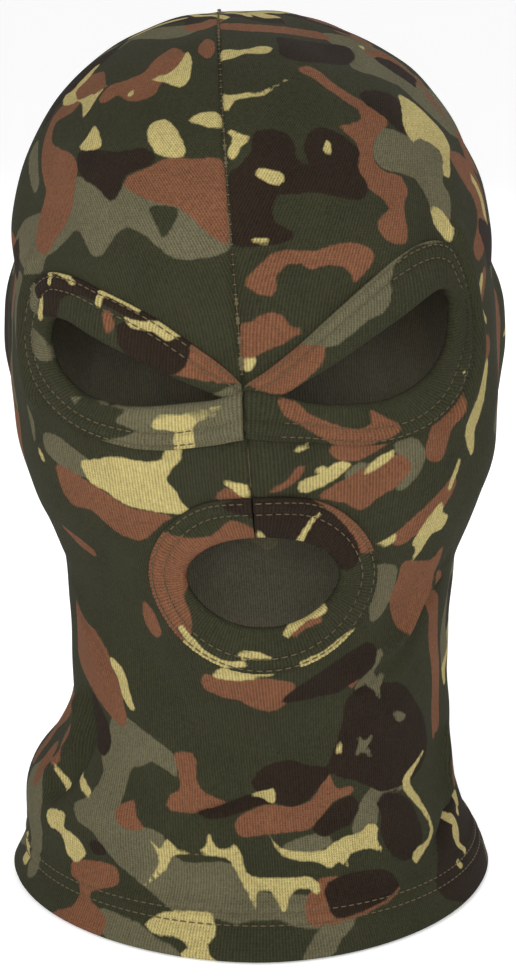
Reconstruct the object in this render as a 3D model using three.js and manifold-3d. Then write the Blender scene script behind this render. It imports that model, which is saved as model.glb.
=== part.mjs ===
// A three-hole balaclava of printed cotton jersey, in the shape it takes on a head.
// Millimetres, +Z up, the wearer's face towards -Y. The origin is the middle of the neck opening.
import * as THREE from "three";
import { ParametricGeometry } from "three/addons/geometries/ParametricGeometry.js";
import { mergeVertices } from "three/addons/utils/BufferGeometryUtils.js";
import Module from "manifold-3d";

const wasm = await Module();
wasm.setup();

// ---- overall sizes: the hood is graded from its base size to these ----
const WIDTH = 171; // over the ears
const DEPTH = 204; // nose to back of head
const HEIGHT = 294; // hem to crown
const BASE_SIZE = new THREE.Vector3(171, 204, 294);

// ---- cloth and sewing ----
const CLOTH = 1.0; // jersey, as stretched on the head
const BINDING_CLOTH = 1.2; // binding strip, each side of the edge it clasps
const CLEARANCE = 0.3; // between pieces that touch
const BODY_LAP = 7; // how far the body reaches in under a binding
const ROW_WIDTH = 0.9; // needle thread lying on the cloth
const ROW_HEIGHT = 0.6;
const ROW_INSET = 1.3; // first needle row, from the binding's outer edge
const ROW_SPACING = 5.6; // between the two needle rows of a binding
const HEM_TURN_UP = 15; // depth of the cloth turned up inside the neck
const HEM_FOLD = 1.6; // solid fold at the very edge
const HEM_ROWS = [9.4, 12.6]; // heights of the two hem rows
const SEAM_TILT = 0.077; // the centre seam leans this much, sideways per height
const SEAM_PIVOT_Z = 126; // height where the seam would meet the middle
const SEAM_NAPE_Z = 150; // where the seam ends at the back
const OVERLOCK_WIDTH = 5;
const OVERLOCK_HEIGHT = 1.8;
const SEAM_END_GAP = 1; // between the overlocked seam and a binding

// ---- the head under the cloth, at base size: middle, then half sizes each way ----
const HEAD_FORMS = {
  skull: { at: [0, 2, 214], half: 79.5, front: 98, back: 98, up: 80, down: 126, square: 2.05 },
  cheeks: { at: [0, -12, 162], half: 76.5, front: 76, back: 76, up: 58, down: 62, square: 2.4 },
  chin: { at: [0, -52, 112], half: 36, front: 40, back: 41, up: 30, down: 34, square: 2.1 },
  nose: { at: [0, -88, 160], half: 13, front: 16, back: 14, up: 26, down: 14, square: 2 },
  leftEar: { at: [-75.5, 14, 184], half: 8.5, front: 16, back: 16, up: 22, down: 22, square: 2 },
  rightEar: { at: [75.5, 14, 184], half: 8.5, front: 16, back: 16, up: 22, down: 22, square: 2 },
};
const HEAD_LEAN = 0.03; // the head tips this much to the left, sideways per height
const HEAD_LEAN_Z = 150;
// The neck tube: height, then left, right, front and back half sizes and squareness.
const NECK_SECTIONS = [
  [0, 85.5, 80.5, 95, 92, 1.88],
  [10, 81, 77, 86, 88, 1.95],
  [20, 80.5, 71.5, 78, 84, 2.1],
  [30, 80, 69, 77, 82, 2.15],
  [38, 77, 67.5, 77, 80, 2.15],
  [46, 71, 66.5, 77, 78, 2.15],
  [56, 65, 65.5, 78, 76, 2.15],
  [70, 63.5, 65, 79, 75, 2.15],
  [90, 63.5, 65, 79, 74, 2.15],
  [120, 66, 67, 74, 78, 2.15],
  [180, 64, 64, 66, 84, 2.15],
];
const NECK_TOP = 150; // the tube closes inside the head above here

// ---- outlines seen from the front, (x, z) at base size ----
// An eye's top edge is straight. Its outer outline runs past the centre seam, which trims it.
const EYES = {
  left: {
    opening: { top: [[-12.9, 183], [-60, 202.3]],
      round: [[-65, 199], [-64.5, 190], [-57, 182], [-42, 178], [-27, 179.3], [-12.9, 183]] },
    outer: { top: [[10, 178.3], [-4.5, 187], [-48, 213]],
      round: [[-61, 216.3], [-68, 213.5], [-73, 203], [-73, 190], [-69, 178.5], [-58, 170],
        [-42, 165.7], [-22, 166.4], [-4, 171], [10, 174.5]] },
  },
  right: {
    opening: { top: [[7.5, 183], [53, 210]],
      round: [[58.5, 210.3], [60.4, 204], [58.5, 193], [51, 184], [36, 179.7], [20, 180.5], [7.5, 183]] },
    outer: { top: [[-16, 176.8], [-4, 186.2], [43, 223]],
      round: [[53, 226], [60.8, 221.5], [65.6, 207], [66.5, 192], [61.5, 177], [50, 168.8],
        [33, 166.3], [12.6, 169.3], [-4, 172], [-16, 174]] },
  },
};
const MOUTH = { x: 1.2, z: 124, openHalf: 22.1, openRise: 13.8, outerHalf: 35.2, outerRise: 29.4 };

// ---- how finely the surfaces are divided ----
const COLUMNS = 36;
const LEVELS = [0, 6, 12, 20, 29, 38, 48, 60, 75, 90, 103, 115, 127, 139, 151, 163, 175, 187];
const DOME_Z = 200; // above here the rows fan out over the crown
const DOME_ROWS = 7;
const OUTLINE_STEP = 0.6; // shortest step along an outline that was moved inwards
const REACH = 400; // longer than the whole hood, for cutting shapes

const grade = new THREE.Vector3(WIDTH, DEPTH, HEIGHT).divide(BASE_SIZE);
const seamPlane = (z) => -SEAM_TILT * (z - SEAM_PIVOT_Z);

// ---- the surface ----
const power = (value, exponent) => Math.pow(Math.abs(value), exponent);

function blend(a, b, radius) {
  const h = THREE.MathUtils.clamp(0.5 + (0.5 * (b - a)) / radius, 0, 1);
  return THREE.MathUtils.lerp(b, a, h) - radius * h * (1 - h);
}

function roundForm({ at, half, front, back, up, down, square }, p) {
  const x = p.x - at[0];
  const y = p.y - at[1];
  const z = p.z - at[2];
  const sum = power(x / half, square) + power(y / (y < 0 ? front : back), square) +
    power(z / (z > 0 ? up : down), square);
  return Math.hypot(x, y, z) * (1 - 1 / Math.max(Math.pow(sum, 1 / square), 1e-6));
}

const neckSections = new THREE.CubicInterpolant(
  NECK_SECTIONS.map((row) => row[0]), NECK_SECTIONS.flatMap((row) => row.slice(1)), 5);

function neckForm(p) {
  const [left, right, front, back, square] = neckSections.evaluate(THREE.MathUtils.clamp(p.z, 0, 180));
  const sum = power(p.x / (p.x < 0 ? left : right), square) +
    power(p.y / (p.y < 0 ? front : back), square);
  const across = Math.hypot(p.x, p.y) * (1 - 1 / Math.max(Math.pow(sum, 1 / square), 1e-6));
  return across + Math.max(p.z - NECK_TOP, 0) * 1.2;
}

// Below zero inside the cloth's outer face, above zero outside it; p is at base size.
function clothField(p) {
  const q = new THREE.Vector3(p.x + HEAD_LEAN * (p.z - HEAD_LEAN_Z), p.y, p.z);
  const { skull, cheeks, chin, nose, leftEar, rightEar } = HEAD_FORMS;
  let head = blend(roundForm(skull, q), roundForm(cheeks, q), 22);
  head = blend(head, roundForm(chin, q), 18);
  head = blend(head, roundForm(nose, q), 16);
  head = blend(head, Math.min(roundForm(leftEar, q), roundForm(rightEar, q)), 12);
  const underChin = 16 * Math.exp(-Math.pow(p.x / 28, 2));
  const nape = 24 * THREE.MathUtils.smoothstep(p.y, 0, 40);
  return blend(head, neckForm(p), 8 + (p.y < 0 ? underChin : nape));
}

function surfacePoint(origin, direction) {
  let near = 0;
  let far = 180;
  const p = new THREE.Vector3();
  for (let step = 0; step < 30; step += 1) {
    const middle = (near + far) / 2;
    p.copy(origin).addScaledVector(direction, middle);
    if (clothField(p) < 0) near = middle;
    else far = middle;
  }
  return p;
}

function surfaceNormal(p) {
  const step = 0.5;
  const slope = (axis) => {
    const ahead = p.clone().setComponent(axis, p.getComponent(axis) + step);
    const behind = p.clone().setComponent(axis, p.getComponent(axis) - step);
    return clothField(ahead) - clothField(behind);
  };
  return new THREE.Vector3(slope(0), slope(1), slope(2)).divide(grade).normalize();
}

// One row of the surface: its points on the cloth's outer face and their normals, at full size.
function surfaceRow(z, rise) {
  const row = [];
  for (let column = 0; column < COLUMNS; column += 1) {
    const turn = (2 * Math.PI * column) / COLUMNS;
    const direction = new THREE.Vector3(Math.sin(turn) * Math.cos(rise),
      -Math.cos(turn) * Math.cos(rise), Math.sin(rise));
    const base = surfacePoint(new THREE.Vector3(0, 0, z), direction);
    const normal = surfaceNormal(base);
    if (z === 0) normal.setZ(0).normalize();
    row.push({ point: base.multiply(grade), normal });
  }
  return row;
}

const surfaceRows = LEVELS.map((z) => surfaceRow(z, 0));
for (let row = 0; row <= DOME_ROWS; row += 1)
  surfaceRows.push(surfaceRow(DOME_Z, ((Math.PI / 2) * row) / DOME_ROWS));

// ---- solids ----
function toSolid(geometry) {
  const bare = geometry.index ? geometry.toNonIndexed() : geometry.clone();
  bare.deleteAttribute("normal");
  bare.deleteAttribute("uv");
  const merged = mergeVertices(bare, 1e-4);
  const corners = merged.index.array;
  const triangles = [];
  for (let i = 0; i < corners.length; i += 3) {
    const [a, b, c] = [corners[i], corners[i + 1], corners[i + 2]];
    if (a !== b && b !== c && c !== a) triangles.push(a, b, c);
  }
  return new wasm.Manifold(new wasm.Mesh({
    numProp: 3,
    vertProperties: merged.attributes.position.array,
    triVerts: new Uint32Array(triangles),
  }));
}

// Everything inside the surface that lies `offset` out from the cloth's outer face.
function filled(offset, foot = 0) {
  const rows = surfaceRows.length;
  const place = (u, v, target) => {
    const rowNumber = Math.round(v * (rows + 1)) - 1;
    if (rowNumber < 0) return target.set(0, 0, foot);
    const low = Math.max(rowNumber - 1, 0);
    const { point, normal } = surfaceRows[low][Math.round(u * COLUMNS) % COLUMNS];
    target.copy(point).addScaledVector(normal, offset);
    if (rowNumber === 0) target.z = foot;
    return target;
  };
  return toSolid(new ParametricGeometry(place, COLUMNS, rows + 1));
}

const layer = (inner, outer) => filled(outer, -REACH / 20).subtract(filled(inner, -REACH / 10));

// A prism along Y through the front of the face, from an outline in (x, z).
function frontPrism(points) {
  const shape = new THREE.Shape(points);
  const geometry = new THREE.ExtrudeGeometry(shape, { depth: REACH / 2, bevelEnabled: false });
  return toSolid(geometry.rotateX(Math.PI / 2));
}

function box(x0, x1, y0, y1, z0, z1) {
  const geometry = new THREE.BoxGeometry(x1 - x0, y1 - y0, z1 - z0);
  return geometry.translate((x0 + x1) / 2, (y0 + y1) / 2, (z0 + z1) / 2);
}

// A slab beside the centre seam, from x0 to x1 across it, between two heights.
function besideSeam(x0, x1, y0, y1, z0, z1) {
  const geometry = box(x0, x1, y0, y1, z0, z1);
  const corners = geometry.attributes.position;
  for (let i = 0; i < corners.count; i += 1)
    corners.setX(i, corners.getX(i) + seamPlane(corners.getZ(i) / grade.z) * grade.x);
  return toSolid(geometry);
}

// ---- outlines ----
const graded = ([x, z]) => new THREE.Vector2(x * grade.x, z * grade.z);

function eyeOutline({ top, round }) {
  const shape = new THREE.Shape();
  const straight = top.map(graded);
  shape.moveTo(straight[0].x, straight[0].y);
  straight.slice(1).forEach((point) => shape.lineTo(point.x, point.y));
  shape.splineThru(round.map(graded));
  return shape.getPoints(3);
}

function mouthOutline(half, rise) {
  const shape = new THREE.Shape();
  shape.absellipse(MOUTH.x * grade.x, MOUTH.z * grade.z, half * grade.x, rise * grade.z, 0, 2 * Math.PI);
  return shape.getPoints(20);
}

function distanceToOutline(point, outline) {
  const nearest = outline.map((start, i) => {
    const along = outline[(i + 1) % outline.length].clone().sub(start);
    const share = THREE.MathUtils.clamp(point.clone().sub(start).dot(along) / along.lengthSq(), 0, 1);
    return point.distanceTo(start.clone().addScaledVector(along, share));
  });
  return Math.min(...nearest);
}

// The outline moved inwards by a distance, without the loops that tight corners would make.
function inset(points, distance) {
  const open = points[0].distanceTo(points[points.length - 1]) < 1e-6 ? points.slice(0, -1) : points;
  const inwards = THREE.ShapeUtils.isClockWise(open) ? -1 : 1;
  const moved = open.map((point, i) => {
    const into = point.clone().sub(open[(i + open.length - 1) % open.length]).normalize();
    const out = open[(i + 1) % open.length].clone().sub(point).normalize();
    const along = into.clone().add(out).normalize();
    const reach = distance / Math.max(Math.sqrt((1 + into.dot(out)) / 2), 0.6);
    return new THREE.Vector2(point.x - along.y * inwards * reach, point.y + along.x * inwards * reach);
  });
  const kept = [];
  for (const point of moved) {
    const crowded = kept.length && point.distanceTo(kept[kept.length - 1]) < OUTLINE_STEP;
    if (!crowded && distanceToOutline(point, open) > 0.97 * Math.abs(distance)) kept.push(point);
  }
  return kept;
}

// ---- the pieces ----
const root = new THREE.Group();
const hood = new THREE.Group();
root.add(hood);

const COLOURS = {
  print: new THREE.MeshStandardMaterial({ color: 0x3e3e30, roughness: 0.95, metalness: 0 }),
  binding: new THREE.MeshStandardMaterial({ color: 0x5d5646, roughness: 0.95, metalness: 0 }),
  needleThread: new THREE.MeshStandardMaterial({ color: 0x23221a, roughness: 0.8, metalness: 0 }),
  overlock: new THREE.MeshStandardMaterial({ color: 0x2c2b22, roughness: 0.85, metalness: 0 }),
};

function addPiece(name, solid, material) {
  const { vertProperties, triVerts } = solid.simplify(0.004).getMesh();
  const geometry = new THREE.BufferGeometry();
  geometry.setAttribute("position", new THREE.BufferAttribute(vertProperties, 3));
  geometry.setIndex(new THREE.BufferAttribute(triVerts, 1));
  geometry.computeVertexNormals();
  const mesh = new THREE.Mesh(geometry, material);
  mesh.name = name;
  hood.add(mesh);
}

const half = CLEARANCE / 2;
const top = REACH;
const sides = {
  left: besideSeam(-REACH / 2, -half, -REACH / 2, 0, 0, top),
  right: besideSeam(half, REACH / 2, -REACH / 2, 0, 0, top),
};
const frontSlit = besideSeam(-half, half, -REACH / 2, 0, MOUTH.z * grade.z, top);
const backSlit = besideSeam(-half, half, -1, REACH / 2, SEAM_NAPE_Z * grade.z, top);

const outlines = {
  left_eye: { opening: eyeOutline(EYES.left.opening), outer: eyeOutline(EYES.left.outer) },
  right_eye: { opening: eyeOutline(EYES.right.opening), outer: eyeOutline(EYES.right.outer) },
  mouth: {
    opening: mouthOutline(MOUTH.openHalf, MOUTH.openRise),
    outer: mouthOutline(MOUTH.outerHalf, MOUTH.outerRise),
  },
};
const ownSide = {
  left_eye: (solid) => solid.intersect(sides.left),
  right_eye: (solid) => solid.intersect(sides.right),
  mouth: (solid) => solid.subtract(frontSlit),
};

// Body: one tube of jersey with the three holes, slit along the centre seam, its neck edge turned up.
function hoodBody() {
  let body = filled(0).subtract(filled(-CLOTH, -REACH / 20));
  const foldedIn = box(-REACH, REACH, -REACH, REACH, -REACH, HEM_TURN_UP);
  const slotHeights = box(-REACH, REACH, -REACH, REACH, HEM_FOLD, HEM_TURN_UP + 1);
  const turnUp = filled(-CLOTH + 0.05).subtract(filled(-2 * CLOTH - CLEARANCE, -REACH / 20))
    .intersect(toSolid(foldedIn));
  const slot = layer(-CLOTH - CLEARANCE, -CLOTH).intersect(toSolid(slotHeights));
  body = body.add(turnUp).subtract(slot);
  for (const { outer } of Object.values(outlines)) body = body.subtract(frontPrism(inset(outer, BODY_LAP)));
  return body.subtract(frontSlit).subtract(backSlit);
}

// Binding: a strip folded round the hole's edge, with the body's edge in its slot.
const bindingTop = CLEARANCE + BINDING_CLOTH;
const bindingLayer = layer(-CLOTH - bindingTop, bindingTop);
const bodyLayer = layer(-CLOTH - CLEARANCE, CLEARANCE);

function binding(name) {
  const { opening, outer } = outlines[name];
  const ring = frontPrism(outer).subtract(frontPrism(opening));
  const slot = bodyLayer.subtract(frontPrism(inset(inset(outer, BODY_LAP), CLEARANCE)));
  return ownSide[name](bindingLayer.intersect(ring).subtract(slot));
}

// Needle row: thread lying on the binding, following its outer edge.
const rowLayer = layer(bindingTop + CLEARANCE, bindingTop + CLEARANCE + ROW_HEIGHT);

function needleRow(name, fromEdge) {
  const { outer } = outlines[name];
  const ring = frontPrism(inset(outer, fromEdge)).subtract(frontPrism(inset(outer, fromEdge + ROW_WIDTH)));
  return ownSide[name](rowLayer.intersect(ring));
}

function hemRow(z) {
  const band = box(-REACH, REACH, -REACH, REACH, z - ROW_WIDTH / 2, z + ROW_WIDTH / 2);
  return layer(CLEARANCE, CLEARANCE + ROW_HEIGHT).intersect(toSolid(band));
}

// Overlock: the seam's two edges, wrapped in thread, lying against the inside of the body.
function overlock(y0, y1, z0, z1) {
  const strip = layer(-CLOTH - CLEARANCE - OVERLOCK_HEIGHT, -CLOTH - CLEARANCE);
  const across = OVERLOCK_WIDTH / 2;
  let solid = strip.intersect(besideSeam(-across, across, y0, y1, z0, z1));
  for (const { outer } of Object.values(outlines))
    solid = solid.subtract(frontPrism(inset(outer, -SEAM_END_GAP)));
  return solid;
}

const bridgeZ = EYES.left.outer.top[1][1] * grade.z;
const noseSeam = overlock(-REACH / 2, 0, MOUTH.z * grade.z, bridgeZ);
const crownSeam = overlock(-REACH / 2, 1, bridgeZ, top)
  .add(overlock(0, REACH / 2, SEAM_NAPE_Z * grade.z, top));

addPiece("hood_body", hoodBody(), COLOURS.print);
for (const name of Object.keys(outlines)) {
  addPiece(name + "_binding", binding(name), COLOURS.binding);
  addPiece(name + "_outer_needle_row", needleRow(name, ROW_INSET), COLOURS.needleThread);
  addPiece(name + "_inner_needle_row", needleRow(name, ROW_INSET + ROW_SPACING), COLOURS.needleThread);
}
addPiece("lower_hem_needle_row", hemRow(HEM_ROWS[0]), COLOURS.needleThread);
addPiece("upper_hem_needle_row", hemRow(HEM_ROWS[1]), COLOURS.needleThread);
addPiece("nose_seam_overlock", noseSeam, COLOURS.overlock);
addPiece("crown_seam_overlock", crownSeam, COLOURS.overlock);

// The middle of the hood's box stands over the origin.
const bounds = new THREE.Box3().setFromObject(hood);
hood.position.set(-(bounds.min.x + bounds.max.x) / 2, -(bounds.min.y + bounds.max.y) / 2, 0);

export default root;
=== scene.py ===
"""A knitted hood with two bound eye holes and a bound mouth hole, in a five-colour woodland print."""

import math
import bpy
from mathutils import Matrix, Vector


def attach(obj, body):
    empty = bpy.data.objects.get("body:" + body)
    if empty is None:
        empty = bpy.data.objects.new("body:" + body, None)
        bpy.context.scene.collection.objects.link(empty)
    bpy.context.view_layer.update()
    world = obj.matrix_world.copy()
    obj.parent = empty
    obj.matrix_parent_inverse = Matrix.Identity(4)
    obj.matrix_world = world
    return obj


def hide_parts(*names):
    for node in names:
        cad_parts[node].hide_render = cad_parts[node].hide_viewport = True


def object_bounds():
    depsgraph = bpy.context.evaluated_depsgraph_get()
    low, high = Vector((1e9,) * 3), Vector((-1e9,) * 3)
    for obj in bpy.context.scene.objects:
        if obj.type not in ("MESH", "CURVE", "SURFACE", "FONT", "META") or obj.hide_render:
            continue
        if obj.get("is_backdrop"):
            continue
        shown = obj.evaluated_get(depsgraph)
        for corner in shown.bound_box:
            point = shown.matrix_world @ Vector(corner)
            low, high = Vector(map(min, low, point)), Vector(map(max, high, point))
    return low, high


bl_info = {
    "name": "Knitted Three-Hole Hood",
    "version": (1, 0, 0),
    "blender": (4, 5, 0),
    "location": "3D View > Sidebar > Hood",
    "description": "Sews a printed jersey hood, its bindings and its stitching round the packed frame",
    "category": "Add Mesh",
}

import bpy
import numpy as np
from bpy.props import FloatProperty, FloatVectorProperty, PointerProperty
from bpy.types import Operator, Panel, PropertyGroup

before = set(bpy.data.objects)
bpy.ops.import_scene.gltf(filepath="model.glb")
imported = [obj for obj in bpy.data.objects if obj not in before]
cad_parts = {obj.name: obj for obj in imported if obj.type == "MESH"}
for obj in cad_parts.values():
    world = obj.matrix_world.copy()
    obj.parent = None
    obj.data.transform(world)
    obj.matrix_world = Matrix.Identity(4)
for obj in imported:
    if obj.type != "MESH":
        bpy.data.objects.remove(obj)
CAD_LOW, CAD_HIGH = ([float(value) for value in corner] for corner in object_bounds())

MM = 0.001  # lengths in this file are in millimetres until a mesh is made
BASE_BOX = (170.38, 204.88, 293.89)
GRADE = (np.array(CAD_HIGH) - np.array(CAD_LOW)) / MM / BASE_BOX
CENTRING = np.array([1.1, 3.0, 0.0])  # puts the middle of the hood's box over the origin

# ---- the head form under the cloth: middle, half sizes front/back/up/down/half width, squareness ----
SKULL = ((0, 2, 214), 98, 98, 80, 126, 79.5, 2.05)
CHEEKS = ((0, -12, 162), 76, 76, 58, 62, 76.5, 2.4)
CHIN = ((0, -52, 112), 40, 41, 30, 34, 36, 2.1)
NOSE = ((0, -88, 160), 16, 14, 26, 14, 13, 2.0)
RIGHT_EAR = ((75.5, 14, 184), 16, 16, 22, 22, 8.5, 2.0)
LEFT_EAR = ((-75.5, 14, 184), 16, 16, 22, 22, 8.5, 2.0)
HEAD_LEAN = 0.03  # the head tips this much to the left, sideways per height
HEAD_LEAN_Z = 150
# Neck tube: height, then left, right, front and back half sizes and squareness.
NECK = np.array([
    (0, 85.5, 80.5, 95, 92, 1.88),
    (10, 81, 77, 86, 88, 1.95),
    (20, 80.5, 71.5, 78, 84, 2.1),
    (30, 80, 69, 77, 82, 2.15),
    (38, 77, 67.5, 77, 80, 2.15),
    (46, 71, 66.5, 77, 78, 2.15),
    (56, 65, 65.5, 78, 76, 2.15),
    (70, 63.5, 65, 79, 75, 2.15),
    (90, 63.5, 65, 79, 74, 2.15),
    (120, 66, 67, 74, 78, 2.15),
    (180, 64, 64, 66, 84, 2.15),
])
NECK_TOP = 150

# ---- the flat pattern: across from the centre seam and up from the hem ----
TURN_RADIUS = 80  # a full turn of the pattern is this radius's circumference
DOME_Z = 200  # above here the rows fan out over the crown
DOME_ARC = 150  # pattern length from there to the top of the crown
HALF_TURN = math.pi * TURN_RADIUS
SEAM_TILT = 0.077
SEAM_PIVOT_Z = 126
SEAM_FRONT_Z = 139  # the seam runs up from the mouth
SEAM_NAPE_Z = 150  # and ends here at the back
HEM_TURN_UP = 15
HEM_ROWS = (9.4, 12.6)

# ---- binding stations: outer edge (x, z), then hole's edge (x, z) ----
LEFT_EYE = (
    ((-4.9, 187.1), (-4.5, 180.0)), ((-8, 190), (-8.5, 181.8)), ((-13, 194), (-12.9, 183.4)),
    ((-17.4, 197), (-17.5, 185)), ((-32.6, 206.7), (-34, 191.4)), ((-48, 213), (-50, 197.8)),
    ((-58, 215.8), (-59, 201.5)), ((-64.5, 215.4), (-62.8, 201.8)), ((-69.5, 211), (-64.8, 199.5)),
    ((-72.3, 205), (-65.3, 196.5)), ((-73.4, 192), (-64.9, 191.5)), ((-70.4, 180.7), (-61.5, 185.5)),
    ((-63.4, 173), (-54.5, 180.5)), ((-53.5, 168), (-47, 178.7)), ((-42, 165.6), (-40, 178)),
    ((-29.8, 165.2), (-29.7, 179)), ((-17.5, 167.4), (-18.5, 181)), ((-10, 169.4), (-12, 182.3)),
    ((-6.5, 170.5), (-8.1, 183.4)), ((-3.8, 171.1), (-4.3, 185)),
)
RIGHT_EYE = (
    ((-4.4, 186.4), (-3.9, 179.4)), ((3, 191.3), (2.2, 181)), ((9.6, 196.4), (7.5, 183.4)),
    ((21.6, 207), (21, 190.9)), ((33.8, 217), (34, 198.8)), ((43, 223.5), (45, 205.3)),
    ((48.5, 225.8), (52, 209.5)), ((53.5, 226.3), (55.5, 211)), ((58, 224.6), (58.2, 210.6)),
    ((61.5, 219.5), (59.8, 208)), ((65, 209), (60.4, 204)), ((66.8, 196.4), (58.9, 194)),
    ((66, 184.6), (54.5, 187.3)), ((61.4, 176.4), (49, 183.5)), ((53, 170), (43, 181)),
    ((42, 166.8), (37, 179.8)), ((28, 166.8), (27, 179.6)), ((12.6, 169.5), (15, 181)),
    ((5, 170.6), (8.5, 183.1)), ((1, 171.1), (2.6, 184.4)), ((-3.2, 171.6), (-3.6, 185.2)),
)
MOUTH_MIDDLE = (1.6, 124)
MOUTH_OUTER = (35.2, 29.4)
MOUTH_HOLE = (24.2, 14.2)
MOUTH_SEAM_TURN = math.radians(95.4)  # where the ring's two ends meet the centre seam

# ---- sewing ----
NEEDLE_ROWS = (1.3, 5.3)  # from a binding's outer edge
HOLE_LAP = 4.5  # the body is cut away this far inside a binding's outer edge


# ======== the cloth surface ========
def blend(a, b, radius):
    share = np.clip(0.5 + 0.5 * (b - a) / radius, 0, 1)
    return b + (a - b) * share - radius * share * (1 - share)


def smooth_step(start, end, value):
    share = np.clip((value - start) / (end - start), 0, 1)
    return share * share * (3 - 2 * share)


def round_form(form, p):
    middle, front, back, up, down, half, square = form
    q = p - np.array(middle, float)
    deep = np.where(q[..., 1] < 0, front, back)
    tall = np.where(q[..., 2] > 0, up, down)
    total = (np.abs(q[..., 0]) / half) ** square + (np.abs(q[..., 1]) / deep) ** square
    total = total + (np.abs(q[..., 2]) / tall) ** square
    return np.linalg.norm(q, axis=-1) * (1 - 1 / np.maximum(total ** (1 / square), 1e-6))


def smooth_table(keys, values, at):
    """Values between the rows of a table, on one smooth curve."""
    slopes = np.gradient(values, keys, axis=0)
    i = np.clip(np.searchsorted(keys, at, side="right") - 1, 0, len(keys) - 2)
    width = (keys[i + 1] - keys[i])[..., None]
    t = ((at - keys[i]) / (keys[i + 1] - keys[i]))[..., None]
    start, end = values[i], values[i + 1]
    return ((2 * t ** 3 - 3 * t ** 2 + 1) * start + (t ** 3 - 2 * t ** 2 + t) * width * slopes[i]
            + (3 * t ** 2 - 2 * t ** 3) * end + (t ** 3 - t ** 2) * width * slopes[i + 1])


def neck_form(p):
    x, y, z = p[..., 0], p[..., 1], p[..., 2]
    size = smooth_table(NECK[:, 0], NECK[:, 1:], np.clip(z, 0, 180))
    wide = np.where(x < 0, size[..., 0], size[..., 1])
    deep = np.where(y < 0, size[..., 2], size[..., 3])
    square = size[..., 4]
    total = (np.abs(x) / wide) ** square + (np.abs(y) / deep) ** square
    across = np.hypot(x, y) * (1 - 1 / np.maximum(total ** (1 / square), 1e-6))
    return across + np.maximum(z - NECK_TOP, 0) * 1.2


def cloth_field(p):
    """Below zero inside the cloth's outer face, above zero outside it."""
    p = p / GRADE - CENTRING
    q = p.copy()
    q[..., 0] += HEAD_LEAN * (p[..., 2] - HEAD_LEAN_Z)
    head = blend(round_form(SKULL, q), round_form(CHEEKS, q), 22)
    head = blend(head, round_form(CHIN, q), 18)
    head = blend(head, round_form(NOSE, q), 16)
    head = blend(head, np.minimum(round_form(LEFT_EAR, q), round_form(RIGHT_EAR, q)), 12)
    under_chin = 16 * np.exp(-(p[..., 0] / 28) ** 2)
    nape = 24 * smooth_step(0, 40, p[..., 1])
    return blend(head, neck_form(p), 8 + np.where(p[..., 1] < 0, under_chin, nape))


def reach_cloth(origin, direction):
    near = np.zeros(origin.shape[:-1])
    far = near + 180.0
    for _ in range(24):
        middle = (near + far) / 2
        inside = cloth_field(origin + direction * middle[..., None]) < 0
        near = np.where(inside, middle, near)
        far = np.where(inside, far, middle)
    return origin + direction * near[..., None]


def cloth_normal(p):
    step = 0.5 * np.eye(3)
    slope = [cloth_field(p + step[i]) - cloth_field(p - step[i]) for i in range(3)]
    normal = np.stack(slope, -1)
    return normal / np.linalg.norm(normal, axis=-1, keepdims=True)


def seam_x(z):
    return (CENTRING[0] - SEAM_TILT * (z / GRADE[2] - SEAM_PIVOT_Z)) * GRADE[0]


def cloth_point(across, up):
    """The point of the cloth's outer face at a place on the flat pattern."""
    across, up = np.broadcast_arrays(np.asarray(across, float), np.asarray(up, float))
    turn = across / TURN_RADIUS
    rise = np.clip((up - DOME_Z) / DOME_ARC, 0, 1) * math.pi / 2
    z = np.minimum(up, DOME_Z) * GRADE[2]
    origin = np.stack([seam_x(z), 0 * z, z], -1)
    level, lift = np.cos(rise), np.sin(rise)
    direction = np.stack([np.sin(turn) * level - SEAM_TILT * lift, -np.cos(turn) * level, lift], -1)
    return reach_cloth(origin, direction)


def front_point(x, z):
    """The point of the face of the hood that lies straight ahead of (x, z)."""
    x, z = (x + CENTRING[0]) * GRADE[0], z * GRADE[2]
    origin = np.stack([x, 0 * x, z], -1)
    return reach_cloth(origin, np.broadcast_to(np.array([0.0, -1.0, 0.0]), origin.shape))


# ======== the print, drawn on the flat pattern ========
# A patch is a closed outline of (across, up). A stroke is a line of (across, up, half width).
OLIVE, GREEN, RUST, BROWN, FLECK, YELLOW = "olive", "green", "rust", "brown", "fleck", "yellow"
# Each dye lies over the ones before it, and all lie on dark green cloth.
DYES = (OLIVE, GREEN, RUST, BROWN, FLECK, YELLOW)

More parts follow.
